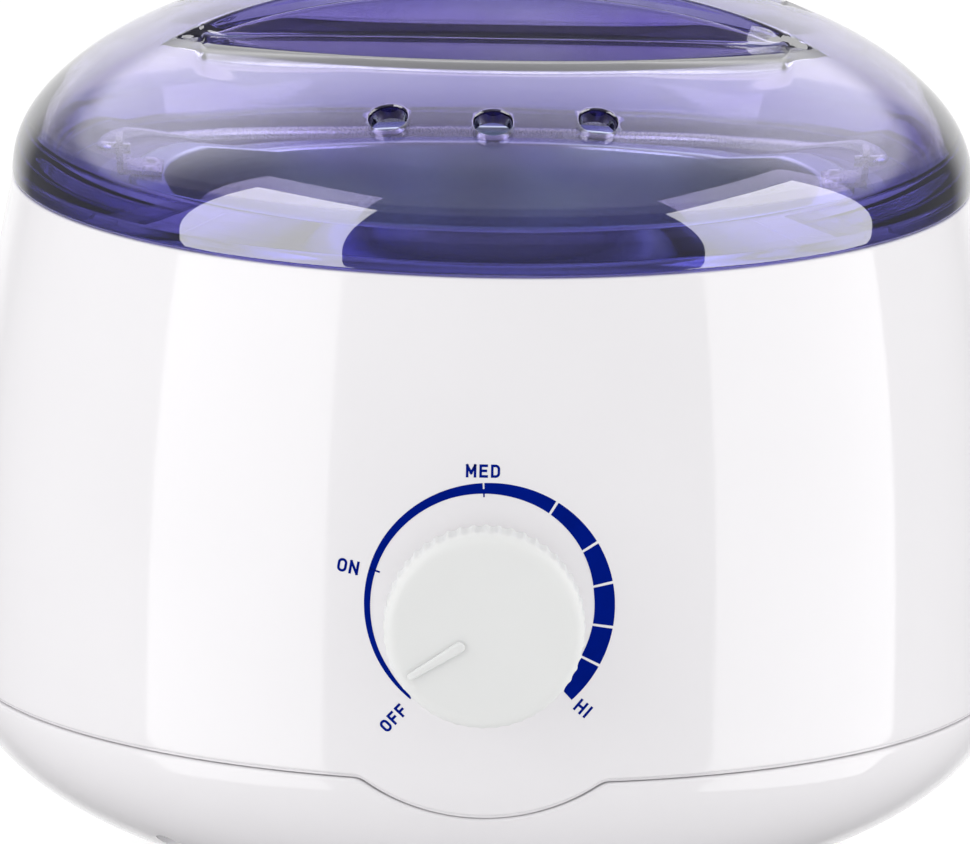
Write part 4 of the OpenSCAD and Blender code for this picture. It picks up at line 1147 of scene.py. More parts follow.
class Housing:
    """The upper shell with its rim, deck, posts, lip and holes."""

    def __init__(self, form: BodyForm) -> None:
        """Keeps the form that the shell follows."""
        self.form = form
        self.ledge_r, self.deck_z, self.hole_r = 80.3, 111.0, 63.0
        self.post_r, self.post_low_z, self.pilot_r, self.pilot_z = 4.5, 22.1, 1.55, 38.5
        self.stud_ring_r, self.stud_r = 66.5, 2.3
        self.bush_r, self.lamp_r, self.lamp_z = 4.2, 2.8, 69.8
        self.inlet_z, self.inlet_half = 46.0, 5.1
        self.step_depth, self.step_gap = 0.8, 0.2

    def shell(self) -> Mesh:
        """The shell's own closed wall.

        Returns:
            Its mesh.
        """
        form = self.form
        bottom = form.seam_round(-form.gap / 2)
        rows: list[tuple[Array, Array]] = []
        edge, top_edge = 0.5, 0.9
        base_r = form.side_r(bottom + edge)
        for a in np.radians([-90, -60, -30]):
            rows.append((base_r - edge + edge * np.cos(a), bottom + edge + edge * np.sin(a)))
        top = form.rim_z - top_edge
        side_rows, lining_rows, lining_z = 56, 16, self.deck_z - 12
        rows += [(form.side_r(z), z) for z in steps_between(bottom + edge, top, side_rows)]
        fixed = rounded(
            [
                (float(form.side_r(top)), top),
                (float(form.side_r(form.rim_z)), form.rim_z, top_edge),
                (self.ledge_r, form.rim_z, 0.5),
                (self.ledge_r, self.deck_z, 0.6),
                (self.hole_r, self.deck_z, 0.4),
                (self.hole_r, self.deck_z - form.wall, 0.4),
                (float(form.lining_r(self.deck_z - form.wall)), self.deck_z - form.wall, 1.5),
                (float(form.lining_r(lining_z)), lining_z),
            ],
            5,
            False,
        )[1:-1]
        rows += form.level(filled(fixed, 4.0))
        rows += [(form.lining_r(z), z) for z in steps_between(lining_z, bottom, lining_rows)]
        step_r, step_z = base_r - self.step_depth, bottom - form.gap + self.step_gap
        rows += [(form.lining_r(bottom), step_z), (step_r, step_z), (step_r, bottom)]
        return form.wall_mesh("housing_shell", rows)

    def fittings(self) -> list[Mesh]:
        """The seam's lip and the four screw posts.

        Returns:
            A mesh for each.
        """
        form = self.form
        lip_h, lip_t, lip_play, overlap = 4.5, 2, 0.2, 0.6
        lip_z = form.seam_z - lip_h
        lip_r = float(form.lining_r(lip_z)) - lip_play
        root_r = form.widest_r - form.wall + overlap
        join_z = form.seam_z + form.gap / 2 + 0.4
        outline = rounded(
            [
                (lip_r - lip_t, lip_z, 0.4),
                (lip_r, lip_z, 0.4),
                (lip_r, join_z),
                (root_r, join_z),
                (root_r, join_z + 3),
                (lip_r - lip_t, join_z + 3, 0.6),
            ],
            3,
        )
        made = [mesh_of("lip", [lathe(outline, 256)])]
        post = rounded(
            [
                (self.pilot_r, self.post_low_z, 0.2),
                (self.post_r, self.post_low_z, 0.3),
                (self.post_r, self.deck_z - 4, 2.0),
                (self.post_r + 2.5, self.deck_z - 1),
                (0.01, self.deck_z - 1),
                (0.01, self.pilot_z),
                (self.pilot_r, self.pilot_z),
            ],
            4,
        )
        for x, y in corner_places(form.post_ring_r):
            sheet = lathe(post, 40)
            sheet.shift(x, y)
            made.append(mesh_of("post", [sheet]))
        return made

    def build(self) -> Object:
        """Builds the shell, cuts its holes and adds its lip and posts.

        Returns:
            The piece.
        """
        form = self.form
        piece = object_of("housing_shell", self.shell())
        front = float(form.side_r(form.dial_z))
        outside, inside = 2, 10
        tools = [
            rod("bush_hole", self.bush_r, -front - outside, -front + inside, form.dial_z),
            rod("lamp_hole", self.lamp_r, -front - outside, -front + inside, self.lamp_z),
        ]
        back = float(form.side_r(self.inlet_z))
        wide = 2 * self.inlet_half
        window = block("inlet_window", (wide, 12, wide), (0, back, self.inlet_z))
        tools.append(object_of("inlet_window", window))
        for turn in (90, 210, 330):
            x, y = (self.stud_ring_r * f(math.radians(turn)) for f in (math.cos, math.sin))
            tools.append(upright("stud_hole", self.stud_r, self.deck_z - 4, self.deck_z + 2, x, y))
        cut_away(piece, *tools)
        piece.data = joined("housing_shell", [piece.data, *self.fittings()])
        smooth(piece.data, 40)
        return piece


class Base:
    """The lower shell with its floor, screw wells and bosses."""

    def __init__(self, form: BodyForm) -> None:
        """Keeps the form that the shell follows."""
        self.form = form
        self.floor_z = form.foot_h + form.wall
        self.boss_r, self.boss_low_z, self.joint_z, self.seat_z = 5.0, 10.5, 22.0, 14.5
        self.well_r, self.bore_r = 3.3, 1.6
        self.foot_ring_r, self.foot_hole_r = 46.0, 3.1

    def shell(self) -> Mesh:
        """The base's own closed wall.

        Returns:
            Its mesh.
        """
        form = self.form
        top = form.seam_round(form.gap / 2)
        rows: list[tuple[Array, Array]] = []
        edge = 0.5
        lean = np.arcsin(np.clip((form.seam_z - (top - edge)) / form.under_h, 0, 1))
        end = math.asin((form.seam_z - form.foot_h - 0.25) / form.under_h)
        for a in np.radians([90, 60, 30]):
            r = form.side_r(top - edge)
            rows.append((r - edge + edge * np.cos(a), top - edge + edge * np.sin(a)))
        outer_rows, inner_rows = 44, 22
        for a in steps_between(lean, end, outer_rows):
            rows.append((form.widest_r * np.cos(a), form.seam_z - form.under_h * np.sin(a)))
        low_r = form.widest_r * math.cos(end)
        flat = [(low_r - 0.6, form.foot_h + 0.06), (low_r - 1.4, form.foot_h)]
        flat += [(r, form.foot_h) for r in np.linspace(low_r - 3, 0, 16)]
        flat += [(r, self.floor_z) for r in np.linspace(0, float(form.lining_r(self.floor_z)) - 1.5, 12)]
        rows += form.level(flat)
        in_r, in_h = form.widest_r - form.wall, form.under_h - form.wall
        top_in = np.arcsin(np.clip((form.seam_z - top) / in_h, 0, 1))
        low_in = math.asin((form.seam_z - self.floor_z - 0.3) / in_h)
        for a in steps_between(low_in, top_in, inner_rows):
            rows.append((in_r * np.cos(a), form.seam_z - in_h * np.sin(a)))
        return form.wall_mesh("base_shell", rows)

    def mid_wall(self, away: Array) -> Array:
        """Height of the middle of the underside's wall at a distance from the axis.

        Args:
            away: The distances.

        Returns:
            The height at each.
        """
        form = self.form
        outside = form.under_h * np.sqrt(1 - (away / form.widest_r) ** 2)
        inside = (form.under_h - form.wall) * np.sqrt(1 - (away / (form.widest_r - form.wall)) ** 2)
        return form.seam_z - (outside + inside) / 2

    def build(self) -> Object:
        """Builds the base, sinks its wells and adds its bosses.

        Returns:
            The piece.
        """
        piece = object_of("base_shell", self.shell())
        tools, bosses = [], []
        outline = rounded(
            [
                (self.well_r, self.boss_low_z),
                (self.boss_r, self.boss_low_z),
                (self.boss_r, self.joint_z, 0.4),
                (self.bore_r, self.joint_z, 0.2),
                (self.bore_r, self.seat_z),
                (self.well_r, self.seat_z),
            ],
            3,
        )
        for (x, y), place in zip(corner_places(self.form.post_ring_r), corner_places(self.foot_ring_r)):
            tools.append(upright("well", self.well_r, 0, self.seat_z, x, y))
            tools.append(upright("foot_hole", self.foot_hole_r, 0, 10, *place))
            sheet = lathe(outline, 40)
            sheet.shift(x, y)
            away = np.hypot(sheet.points[..., 0], sheet.points[..., 1])
            lowest = sheet.points[..., 2] < self.boss_low_z + 0.5
            sheet.points[..., 2] = np.where(lowest, self.mid_wall(away), sheet.points[..., 2])
            bosses.append(mesh_of("boss", [sheet]))
        cut_away(piece, *tools)
        seat = block("block_seat", (28, 16, 2.5), (-6, 42, self.floor_z + 0.75), 0.03)
        piece.data = joined("base_shell", [piece.data, seat, *bosses])
        smooth(piece.data, 40)
        return piece


@dataclass
class Lid:
    """The clear domed lid, with a grip ridge between two scoops and its steam vents.

    Args:
        edge_z: Height of the lid's lower edge.
        r: Radius of the lower edge.
        plug_r: Radius of the plug that drops into the rim.
        plug_h: Depth of the plug.
        bore_r: Inner radius of the thick rim.
        bore_z: Height up to which the bore is straight.
        bore_top: Height of the top of the thick rim's bore.
        spread: How far the outside stands out beyond the dome at its edge.
        spread_z: Height at which it starts to.
        dome_z: Height of the dome's widest level.
        dome_r: Radius of the dome there.
        dome_h: Height of the dome above it.
        wall: Wall thickness.
        waist: Half thickness of the ridge at its waist.
        flare: How much the ridge's half thickness grows to its ends.
        reach: Half length of the ridge.
        power: Power of the ridge's flare.
        floor_z: Height of the scoops' floor at the ridge.
        tilt: Slope of the scoops' floor.
        cap_r: Radius of the part that holds the scoops.
        lip_ease_at: Distances along the ridge at which the easing of the scoops' lip is given.
        lip_ease: Half length over which the lip is eased there.
        half_columns: Columns over half a turn.
        vent_r: Radius of a vent.
        vent_ring_r: Radius of the ring of vents.
        vent_turns: Where the vents stand on it, in degrees anticlockwise from the right.
    """

    edge_z: float = 117.2
    r: float = 82.85
    plug_r: float = 79.5
    plug_h: float = 4.5
    bore_r: float = 76.2
    bore_z: float = 118.6
    bore_top: float = 124.4
    spread: float = 1.4
    spread_z: float = 134.0
    dome_z: float = 120.2
    dome_r: float = 81.5
    dome_h: float = 33.7
    wall: float = 3.2
    waist: float = 6.5
    flare: float = 10.0
    reach: float = 56.0
    power: float = 3.5
    floor_z: float = 143.4
    tilt: float = 6.0
    cap_r: float = 60.0
    lip_ease_at: tuple[float, ...] = (24.0, 36.0, 46.0)
    lip_ease: tuple[float, ...] = (2.5, 7.0, 11.0)
    half_columns: int = 170
    vent_r: float = 3.25
    vent_ring_r: float = 65.0
    vent_turns: tuple[float, ...] = (-106.0, -90.0, -74.0)

    def dome(self, away: Array, inner: bool) -> Array:
        """Height of the outer or inner dome at a distance from the axis.

        Args:
            away: The distances.
            inner: True for the inner dome.

        Returns:
            The height at each.
        """
        r = self.dome_r - (self.wall if inner else 0)
        h = self.dome_h - (self.wall if inner else 0)
        return self.dome_z + h * np.sqrt(np.clip(1 - (away / r) ** 2, 0, 1))

    def section(self, x: float, inner: bool) -> Array:
        """Half of the cap's section across the ridge, from the ridge's middle outwards.

        Args:
            x: Distance along the ridge from its middle.
            inner: True for the lid's inside.

        Returns:
            Distance from the middle plane and height of each of the section's points.
        """
        end = math.sqrt(max(self.cap_r**2 - x * x, 0.0))
        grow = self.wall if inner else 0.0
        half = self.waist + self.flare * (abs(x) / self.reach) ** self.power - grow
        slope = math.tan(math.radians(self.tilt))

        def floor(y: Array) -> Array:
            """Height of a scoop's floor at a distance from the middle plane."""
            return self.floor_z - grow / math.cos(math.radians(self.tilt)) + slope * (np.asarray(y) - 8.0)

        def crown(y: Array) -> Array:
            """Height of the dome at a distance from the middle plane."""
            return self.dome(np.hypot(x, y), inner)

        counts = (16, 16, 26, 14)
        draft, halvings = 0.35, 40
        scooped = half + draft < end and crown(half) > floor(half)
        if scooped:
            low, high = half + draft, end
            for _ in range(halvings):
                mid = (low + high) / 2
                low, high = (mid, high) if crown(mid) > floor(mid) else (low, mid)
            marks = [0.0, half, half + draft, max(low, half + draft + 1e-3), end]
        else:
            half = min(half, end * 0.9)
            marks = [0.0, half, half + (end - half) * 0.02, half + (end - half) * 0.04, end]
        y, z, cuts = [], [], [0]
        for k, (a, b) in enumerate(zip(marks, marks[1:])):
            if scooped and k == 1:
                ys = np.linspace(a, b, 160)
                zs = np.linspace(float(crown(a)), float(floor(b)), 160)
            else:
                ys = np.linspace(a, b, max(8, int((b - a) / 0.06)))
                zs = floor(ys) if scooped and k == 2 else crown(ys)
            y.append(ys)
            z.append(zs)
            cuts.append(cuts[-1] + len(ys))
        y, z = np.concatenate(y), np.concatenate(z)
        along = np.concatenate([[0], np.cumsum(np.hypot(np.diff(y), np.diff(z)))])
        stops = [along[min(c, len(along) - 1)] for c in cuts]
        lip = along[min(cuts[3], len(along) - 1)]
        ease = float(np.interp(abs(x), self.lip_ease_at, self.lip_ease))
        wide = self.eased(along, y, z, end, ease)
        y, z = self.eased(along, y, z, end)
        near = np.clip(1.5 - np.abs(along - lip) / ease, 0, 1)
        near = near * near * (3 - 2 * near)
        y, z = y + (wide[0] - y) * near, z + (wide[1] - z) * near
        spans = [np.linspace(a, b, n, endpoint=False) for a, b, n in zip(stops, stops[1:], counts)]
        at = np.concatenate([*spans, stops[-1:]])
        out = np.stack([np.interp(at, along, y), np.interp(at, along, z)], 1)
        out[0, 0] = 0.0
        out[-1] = (end, float(crown(end)))
        return out

    @staticmethod
    def eased(along: Array, y: Array, z: Array, end: float, radius: float = 0.9) -> tuple[Array, Array]:
        """Rounds a section's corners by a running mean.

        Args:
            along: Length along the section at each point.
            y: Distance of each point from the middle plane.
            z: Height of each point.
            end: Distance of the section's last point.
            radius: Half length of the mean.

        Returns:
            The eased distances and heights.
        """
        if end < 3 * radius:
            return y, z
        step = 0.05
        even = np.arange(0, along[-1], step)
        out = []
        for values, sign in ((y, -1.0), (z, 1.0)):
            level = np.interp(even, along, values)
            n = int(radius / step)
            before = sign * level[1 : n + 1][::-1]
            after = 2 * level[-1] - level[-n - 1 : -1][::-1]
            padded = np.concatenate([before, level, after])
            kernel = np.hanning(2 * n + 3)[1:-1]
            smooth = np.convolve(padded, kernel / kernel.sum(), mode="valid")
            out.append(np.interp(along, even, smooth))
        return out[0], out[1]

    def cap(self, inner: bool) -> Sheet:
        """The outer or inner surface over the scoops and the ridge.

        Args:
            inner: True for the inner surface.

        Returns:
            Its sheet.
        """
        turns = np.linspace(-np.pi / 2, np.pi / 2, self.half_columns + 1)
        columns = []
        for turn in turns:
            x = self.cap_r * math.sin(turn)
            half = self.section(x, inner)
            back = np.stack([np.full(len(half), x), half[:, 0], half[:, 1]], 1)
            front = back * [1, -1, 1]
            columns.append(np.concatenate([front[::-1], back[1:]]))
        return Sheet(np.stack(columns))

    def skirt(self) -> Sheet:
        """The turned part, from the cap's edge down outside, round the rim and up inside.

        Returns:
            Its sheet.
        """
        top_z = float(self.dome(np.array(self.cap_r), False))
        lean = np.linspace(math.asin((top_z - self.dome_z) / self.dome_h), 0.0, 52)
        heights = np.append(self.dome_z + self.dome_h * np.sin(lean), self.edge_z + 1.6)
        outer = [(self.outer_at(z), float(z)) for z in heights]
        rim = rounded(
            [
                outer[-1],
                (self.r, self.edge_z, 0.7),
                (self.plug_r, self.edge_z, 0.35),
                (self.plug_r, self.edge_z - self.plug_h, 0.7),
                (self.bore_r, self.edge_z - self.plug_h, 0.7),
                (self.bore_r, self.bore_z, 2.0),
                (self.inner_at(self.bore_top), self.bore_top),
            ],
            6,
            False,
        )
        inner_start = self.inner_at(self.bore_top + 0.3)
        inner = [(r, float(self.dome(np.array(r), True))) for r in np.linspace(inner_start, self.cap_r, 34)]
        return lathe(outer[:-1] + filled(rim, 0.9) + inner, 2 * self.half_columns, False)

    def outer_at(self, z: float) -> float:
        """Radius of the outside at a height: the dome's, spread a little towards the edge.

        Args:
            z: The height.

        Returns:
            The radius.
        """
        up = max(0.0, z - self.dome_z) / self.dome_h
        spread = (self.spread_z - z) / (self.spread_z - self.edge_z - 0.8)
        return self.dome_r * math.sqrt(1 - up**2) + self.spread * min(1.0, max(0.0, spread))

    def inner_at(self, z: float) -> float:
        """Radius of the inner dome at a height."""
        r, h = self.dome_r - self.wall, self.dome_h - self.wall
        return r * math.sqrt(max(0.0, 1 - ((z - self.dome_z) / h) ** 2))

    def vents(self, tree: Tree) -> Object:
        """The tool that opens the steam vents, with an eased edge at the outside.

        Args:
            tree: The tree that sets the vents on their ring.

        Returns:
            The tool.
        """
        top = float(self.dome(np.array(self.vent_ring_r), False))
        lean = math.atan2(self.vent_ring_r / self.dome_r**2, (top - self.dome_z) / self.dome_h**2)
        deep, ease, ease_r = 9.0, 0.75, 0.5
        outline = [(0, -deep), (self.vent_r, -deep), (self.vent_r, -ease)]
        for a in np.radians([30, 60, 85]):
            outline.append((self.vent_r + ease_r * (1 - math.cos(a)), -ease + ease * math.sin(a)))
        outline += [(self.vent_r + 1.2, 0.6), (0, 0.6)]
        sheet = lathe(outline, 64, False)
        sheet.turn(lean, "Y")
        sheet.shift(0, -AXIS_Y)
        source = object_of("vent_tool", mesh_of("vent_tool", [sheet]))
        return copied(tree, "vents", source, self.vent_ring_r, top, self.vent_turns)

    def mark_vent_wall_shade(self, mesh: Mesh) -> None:
        """Writes an attribute that is 1 on the vents' walls and 0 elsewhere, where the lid's finish paints
        shade.

        Args:
            mesh: The lid's mesh.
        """
        places = np.empty(3 * len(mesh.vertices))
        mesh.vertices.foreach_get("co", places)
        places = places.reshape(-1, 3) / MM - [0, AXIS_Y, 0]
        away = np.hypot(places[:, 0], places[:, 1])
        on_wall = np.zeros(len(places))
        for turn in map(math.radians, self.vent_turns):
            aside = -places[:, 0] * math.sin(turn) + places[:, 1] * math.cos(turn)
            near = (places @ [math.cos(turn), math.sin(turn), 0] > 0) & (abs(away - self.vent_ring_r) < 6)
            deep = self.dome(away, False) - places[:, 2]
            wall = (deep > 0.2) & (deep < self.wall + 1.2) & near & (abs(aside) < self.vent_r + 0.2)
            on_wall = np.maximum(on_wall, wall & ~self.on_inside(away, places[:, 2]))
        mesh.attributes.new("cut", "FLOAT", "POINT").data.foreach_set("value", on_wall)

    def on_inside(self, away: Array, z: Array) -> Array:
        """Which points lie on the plain inner dome."""
        return np.abs(self.dome(away, True) - z) < 1e-3

    def build(self, tree: Tree) -> Object:
        """Builds the lid and opens its vents.

        Args:
            tree: The tree that sets the vents on their ring.

        Returns:
            The piece.
        """
        mesh = mesh_of("lid_dome", [self.cap(False), self.skirt(), self.cap(True)], 2e-3)
        piece = object_of("lid_dome", mesh, None)
        cut_away(piece, self.vents(tree))
        self.mark_vent_wall_shade(piece.data)
        smooth(piece.data, 50)
        return piece


@dataclass
class Knob:
    """The dial knob: a fluted grip on a flared neck, hollow behind, with a raised pointer.

    Args:
        back_y: Distance of the knob's back in front of the axis.
        length: Length of the knob.
        r: Radius of the grip.
        skirt_r: Radius of the skirt.
        grip_l: Length of the grip.
        edge: Radius of the face's edge.
        skirt_wall: Wall thickness of the skirt.
        face_t: Thickness of the face.
        hub_r: Radius of the hub behind the face.
        bore_r: Radius of the spindle's bore in the hub.
        turn: Where the pointer stands, clockwise from the top.
        axis_z: Height of the dial's axis.
        columns: How many steps its round takes.
    """

    back_y: float = 90.378
    length: float = 21.0
    r: float = 17.1
    skirt_r: float = 12.8
    grip_l: float = 7.0
    edge: float = 2.2
    skirt_wall: float = 1.6
    face_t: float = 2.4
    hub_r: float = 4.6
    bore_r: float = 3.0
    turn: float = 237.5
    axis_z: float = 62.0
    columns: int = 576

    def outline(self) -> Outline:
        """Radius and distance from the back, all round the knob's section.

        Returns:
            The section's points.
        """
        grip = self.length - self.grip_l
        neck = grip * 0.3
        flare = self.r - 0.6 - self.skirt_r
        side = [(self.skirt_r, 0.0, 0.4), (self.skirt_r, neck, 2.0)]
        climb = grip * 0.62
        side += [(self.skirt_r + flare * t**1.6, neck + climb * t, 1.0) for t in (0.2, 0.4, 0.6, 0.8, 1.0)]
        side += [(self.r, grip, 0.6)]
        front = [(self.r, self.length - self.edge)]
        front += [
            (self.r - self.edge * (1 - math.cos(a)), self.length - self.edge * (1 - math.sin(a)))
            for a in np.radians(np.arange(11.25, 91, 11.25))
        ]
        front += [(r, self.length) for r in (14.6, 13, 11, 9, 7, 5, 3, 1.5, 0)]
        inner_r, inner_l = self.skirt_r - self.skirt_wall, self.length - self.face_t
        hollow = rounded(
            [
                (0, 18.4),
                (self.bore_r, 18.4, 0.2),
                (self.bore_r, 2.0, 0.3),
                (self.hub_r, 2.0, 0.3),
                (self.hub_r, inner_l, 0.6),
                (inner_r, inner_l, 0.8),
                (inner_r, 0.0, 0.3),
                (self.skirt_r, 0.0),
            ],
            4,
            False,
        )[:-1]
        body = rounded(side, 4, False)[1:]
        back_edge = [hollow[-1], (self.skirt_r, 0.0, 0.4), (self.skirt_r, neck)]
        return hollow + rounded(back_edge, 4, False)[1:-1] + filled(body + front, 0.6)

    def build(self, tree: Tree, finish: Material) -> Object:
        """Builds the knob, presses its flutes and raises its pointer.

        Args:
            tree: The tree that presses the flutes.
            finish: The knob's material.

        Returns:
            The knob.
        """
        sheet = lathe(self.outline(), self.columns, False)
        x, y, z = (sheet.points[..., k] for k in range(3))
        sheet.points = np.stack([x, -self.back_y - z, self.axis_z + y], -1)
        piece = object_of("knob_fluted", mesh_of("knob_fluted", [sheet]))
        grip_y = -(self.back_y + (self.length - self.grip_l) * 0.6)
        face_y = -(self.back_y + self.length)
        tree.run(
            piece,
            Count=48.0,
            Depth=0.34 * MM,
            Share=0.42,
            Middle_Z=self.axis_z * MM,
            Near_Y=(face_y + 0.9 + AXIS_Y) * MM,
            Far_Y=(grip_y + AXIS_Y) * MM,
            Run_Out=1.6 * MM,
            Least_Radius=13.4 * MM,
            Finish=finish,
        )
        piece.data = joined("knob_fluted", [piece.data, self.pointer()])
        smooth(piece.data, 45)
        return piece

    def pointer(self) -> Mesh:
        """The raised bar on the face, with eased edges.

        Returns:
            Its mesh.
        """
        face = self.back_y + self.length
        near, far = (4.9, 0.95), (14.6, 0.6)
        levels = ((-0.4, 0.0), (0.45, 0.02), (0.68, 0.1), (0.8, 0.3))
        rings = []
        for out, shrink in levels:
            loop = []
            for (at, r), start in ((near, 180), (far, 0)):
                for a in np.radians(np.linspace(start, start + 180, 13)):
                    size = r - shrink * r
                    loop.append((size * math.cos(a), face + out, at + size * math.sin(a)))
            rings.append(loop)
        loops = np.array(rings)
        middle = np.broadcast_to(loops[-1].mean(0), loops[-1].shape)
        floor = np.broadcast_to(loops[0].mean(0), loops[0].shape)
        loops = np.concatenate([floor[None], loops, middle[None]])
        turn = math.radians(self.turn)
        x = loops[..., 0] * math.cos(turn) + loops[..., 2] * math.sin(turn)
        z = -loops[..., 0] * math.sin(turn) + loops[..., 2] * math.cos(turn)
        points = np.stack([x, -loops[..., 1], self.axis_z + z], -1)
        return mesh_of("pointer", [Sheet(points, False, True)])


@dataclass
class Pot:
    """The lift-out pot: a thin spun cup with a rolled edge.

    Args:
        r: Inner radius.
        wall: Thickness of the sheet.
        low_z: Height of its underside.
        top_z: Height of the rim's top.
        curl_ring_r: Radius of the rolled edge's ring.
        curl_r: Radius of the rolled edge.
    """

    r: float = 57.0
    wall: float = 0.8
    low_z: float = 54.8
    top_z: float = 114.8
    curl_ring_r: float = 62.3
    curl_r: float = 1.2

    def build(self) -> Object:
        """Builds the pot as one closed sheet round its wall.

        Returns:
            The piece.
        """
        out_r, corner = self.r + self.wall, 6.0
        curl_z = self.top_z - self.curl_r
        roll = [
            (self.curl_ring_r + self.curl_r * math.cos(a), curl_z + self.curl_r * math.sin(a))
            for a in np.radians(np.linspace(90, -205, 28))
        ]
        inside = rounded(
            [
                (0, self.low_z + self.wall),
                (self.r, self.low_z + self.wall, corner - self.wall),
                (self.r, self.top_z, 0.9),
                (self.curl_ring_r, self.top_z),
            ],
            9,
            False,
        )
        outside = rounded(
            [
                (self.curl_ring_r - self.curl_r, self.top_z - self.wall),
                (out_r, self.top_z - self.wall, 0.5),
                (out_r, self.low_z, corner),
                (0, self.low_z),
            ],
            9,
            False,
        )
        mesh = mesh_of("pot_spun", [lathe([*inside, *roll[1:], *outside], 256, False)])
        return object_of("pot_spun", mesh)


class Lettering:
    """Plain capitals drawn with strokes of one width, in a box one high."""

    WIDTHS = {"M": 0.74, "E": 0.56, "D": 0.62, "O": 0.62, "N": 0.62, "F": 0.54, "H": 0.62, "I": 0.0}

    def __init__(self, height: float, stroke: float, space: float) -> None:
        """Keeps the height of the capitals, their stroke's width and the space between them."""
        self.height, self.stroke, self.space = height, stroke, space

    def strokes(self, letter: str) -> list[tuple[Outline, bool]]:
        """The lines that a letter is drawn with.

        Args:
            letter: The letter.

        Returns:
            The points of each line, in a box one high, and whether it is a loop.
        """
        w = self.WIDTHS[letter]
        round_box = rounded([(0, 0, 0.3), (w, 0, 0.3), (w, 1, 0.3), (0, 1, 0.3)], 5)
        peaks = [(0, 0), (0, 1), (w / 2, 0.3), (w, 1), (w, 0)]
        slant = [(0, 0), (0, 1), (w, 0), (w, 1)]
        return {
            "M": [([a, b], False) for a, b in zip(peaks, peaks[1:])],
            "E": [([(w, 0), (0, 0), (0, 1), (w, 1)], False), ([(0, 0.52), (w * 0.86, 0.52)], False)],
            "D": [(rounded([(0, 0), (w, 0, 0.36), (w, 1, 0.36), (0, 1)], 6), True)],
            "O": [(round_box, True)],
            "N": [([a, b], False) for a, b in zip(slant, slant[1:])],
            "F": [([(0, 0), (0, 1), (w, 1)], False), ([(0, 0.5), (w * 0.84, 0.5)], False)],
            "H": [([(0, 0), (0, 1)], False), ([(w, 0), (w, 1)], False), ([(0, 0.5), (w, 0.5)], False)],
            "I": [([(0, 0), (0, 1)], False)],
        }[letter]

    def lines(self, text: str) -> list[tuple[Array, bool]]:
        """The lines of a word round its own middle, in millimetres.

        Args:
            text: The word.

        Returns:
            The middle line of each stroke and whether it is a loop.
        """
        inner = self.height - self.stroke
        found, at = [], 0.0
        for letter in text:
            for line, loop in self.strokes(letter):
                found.append((np.array(line) * inner + [at, -inner / 2], loop))
            at += self.WIDTHS[letter] * inner + self.space
        half = (at - self.space) / 2
        return [(line - [half, 0.0], loop) for line, loop in found]

    def ribbon(self, line: Array, loop: bool) -> Array:
        """Both edges of a stroke, as two rows of points.

        Args:
            line: The stroke's middle line.
            loop: True if its last point joins its first.

        Returns:
            An array of two rows by points by two.
        """
        ahead = np.roll(line, -1, 0) - line
        behind = line - np.roll(line, 1, 0)
        if not loop:
            ahead[-1], behind[0] = behind[-1], ahead[0]
        ahead /= np.linalg.norm(ahead, axis=1, keepdims=True)
        behind /= np.linalg.norm(behind, axis=1, keepdims=True)
        left = [np.stack([-v[:, 1], v[:, 0]], 1) for v in (ahead, behind)]
        mitre = (left[0] + left[1]) / np.maximum(1 + (left[0] * left[1]).sum(1, keepdims=True), 0.55)
        reach = self.stroke / 2
        line = line.copy()
        if not loop:
            line[0] -= ahead[0] * reach
            line[-1] += behind[-1] * reach
        return np.stack([line - mitre * reach, line + mitre * reach])


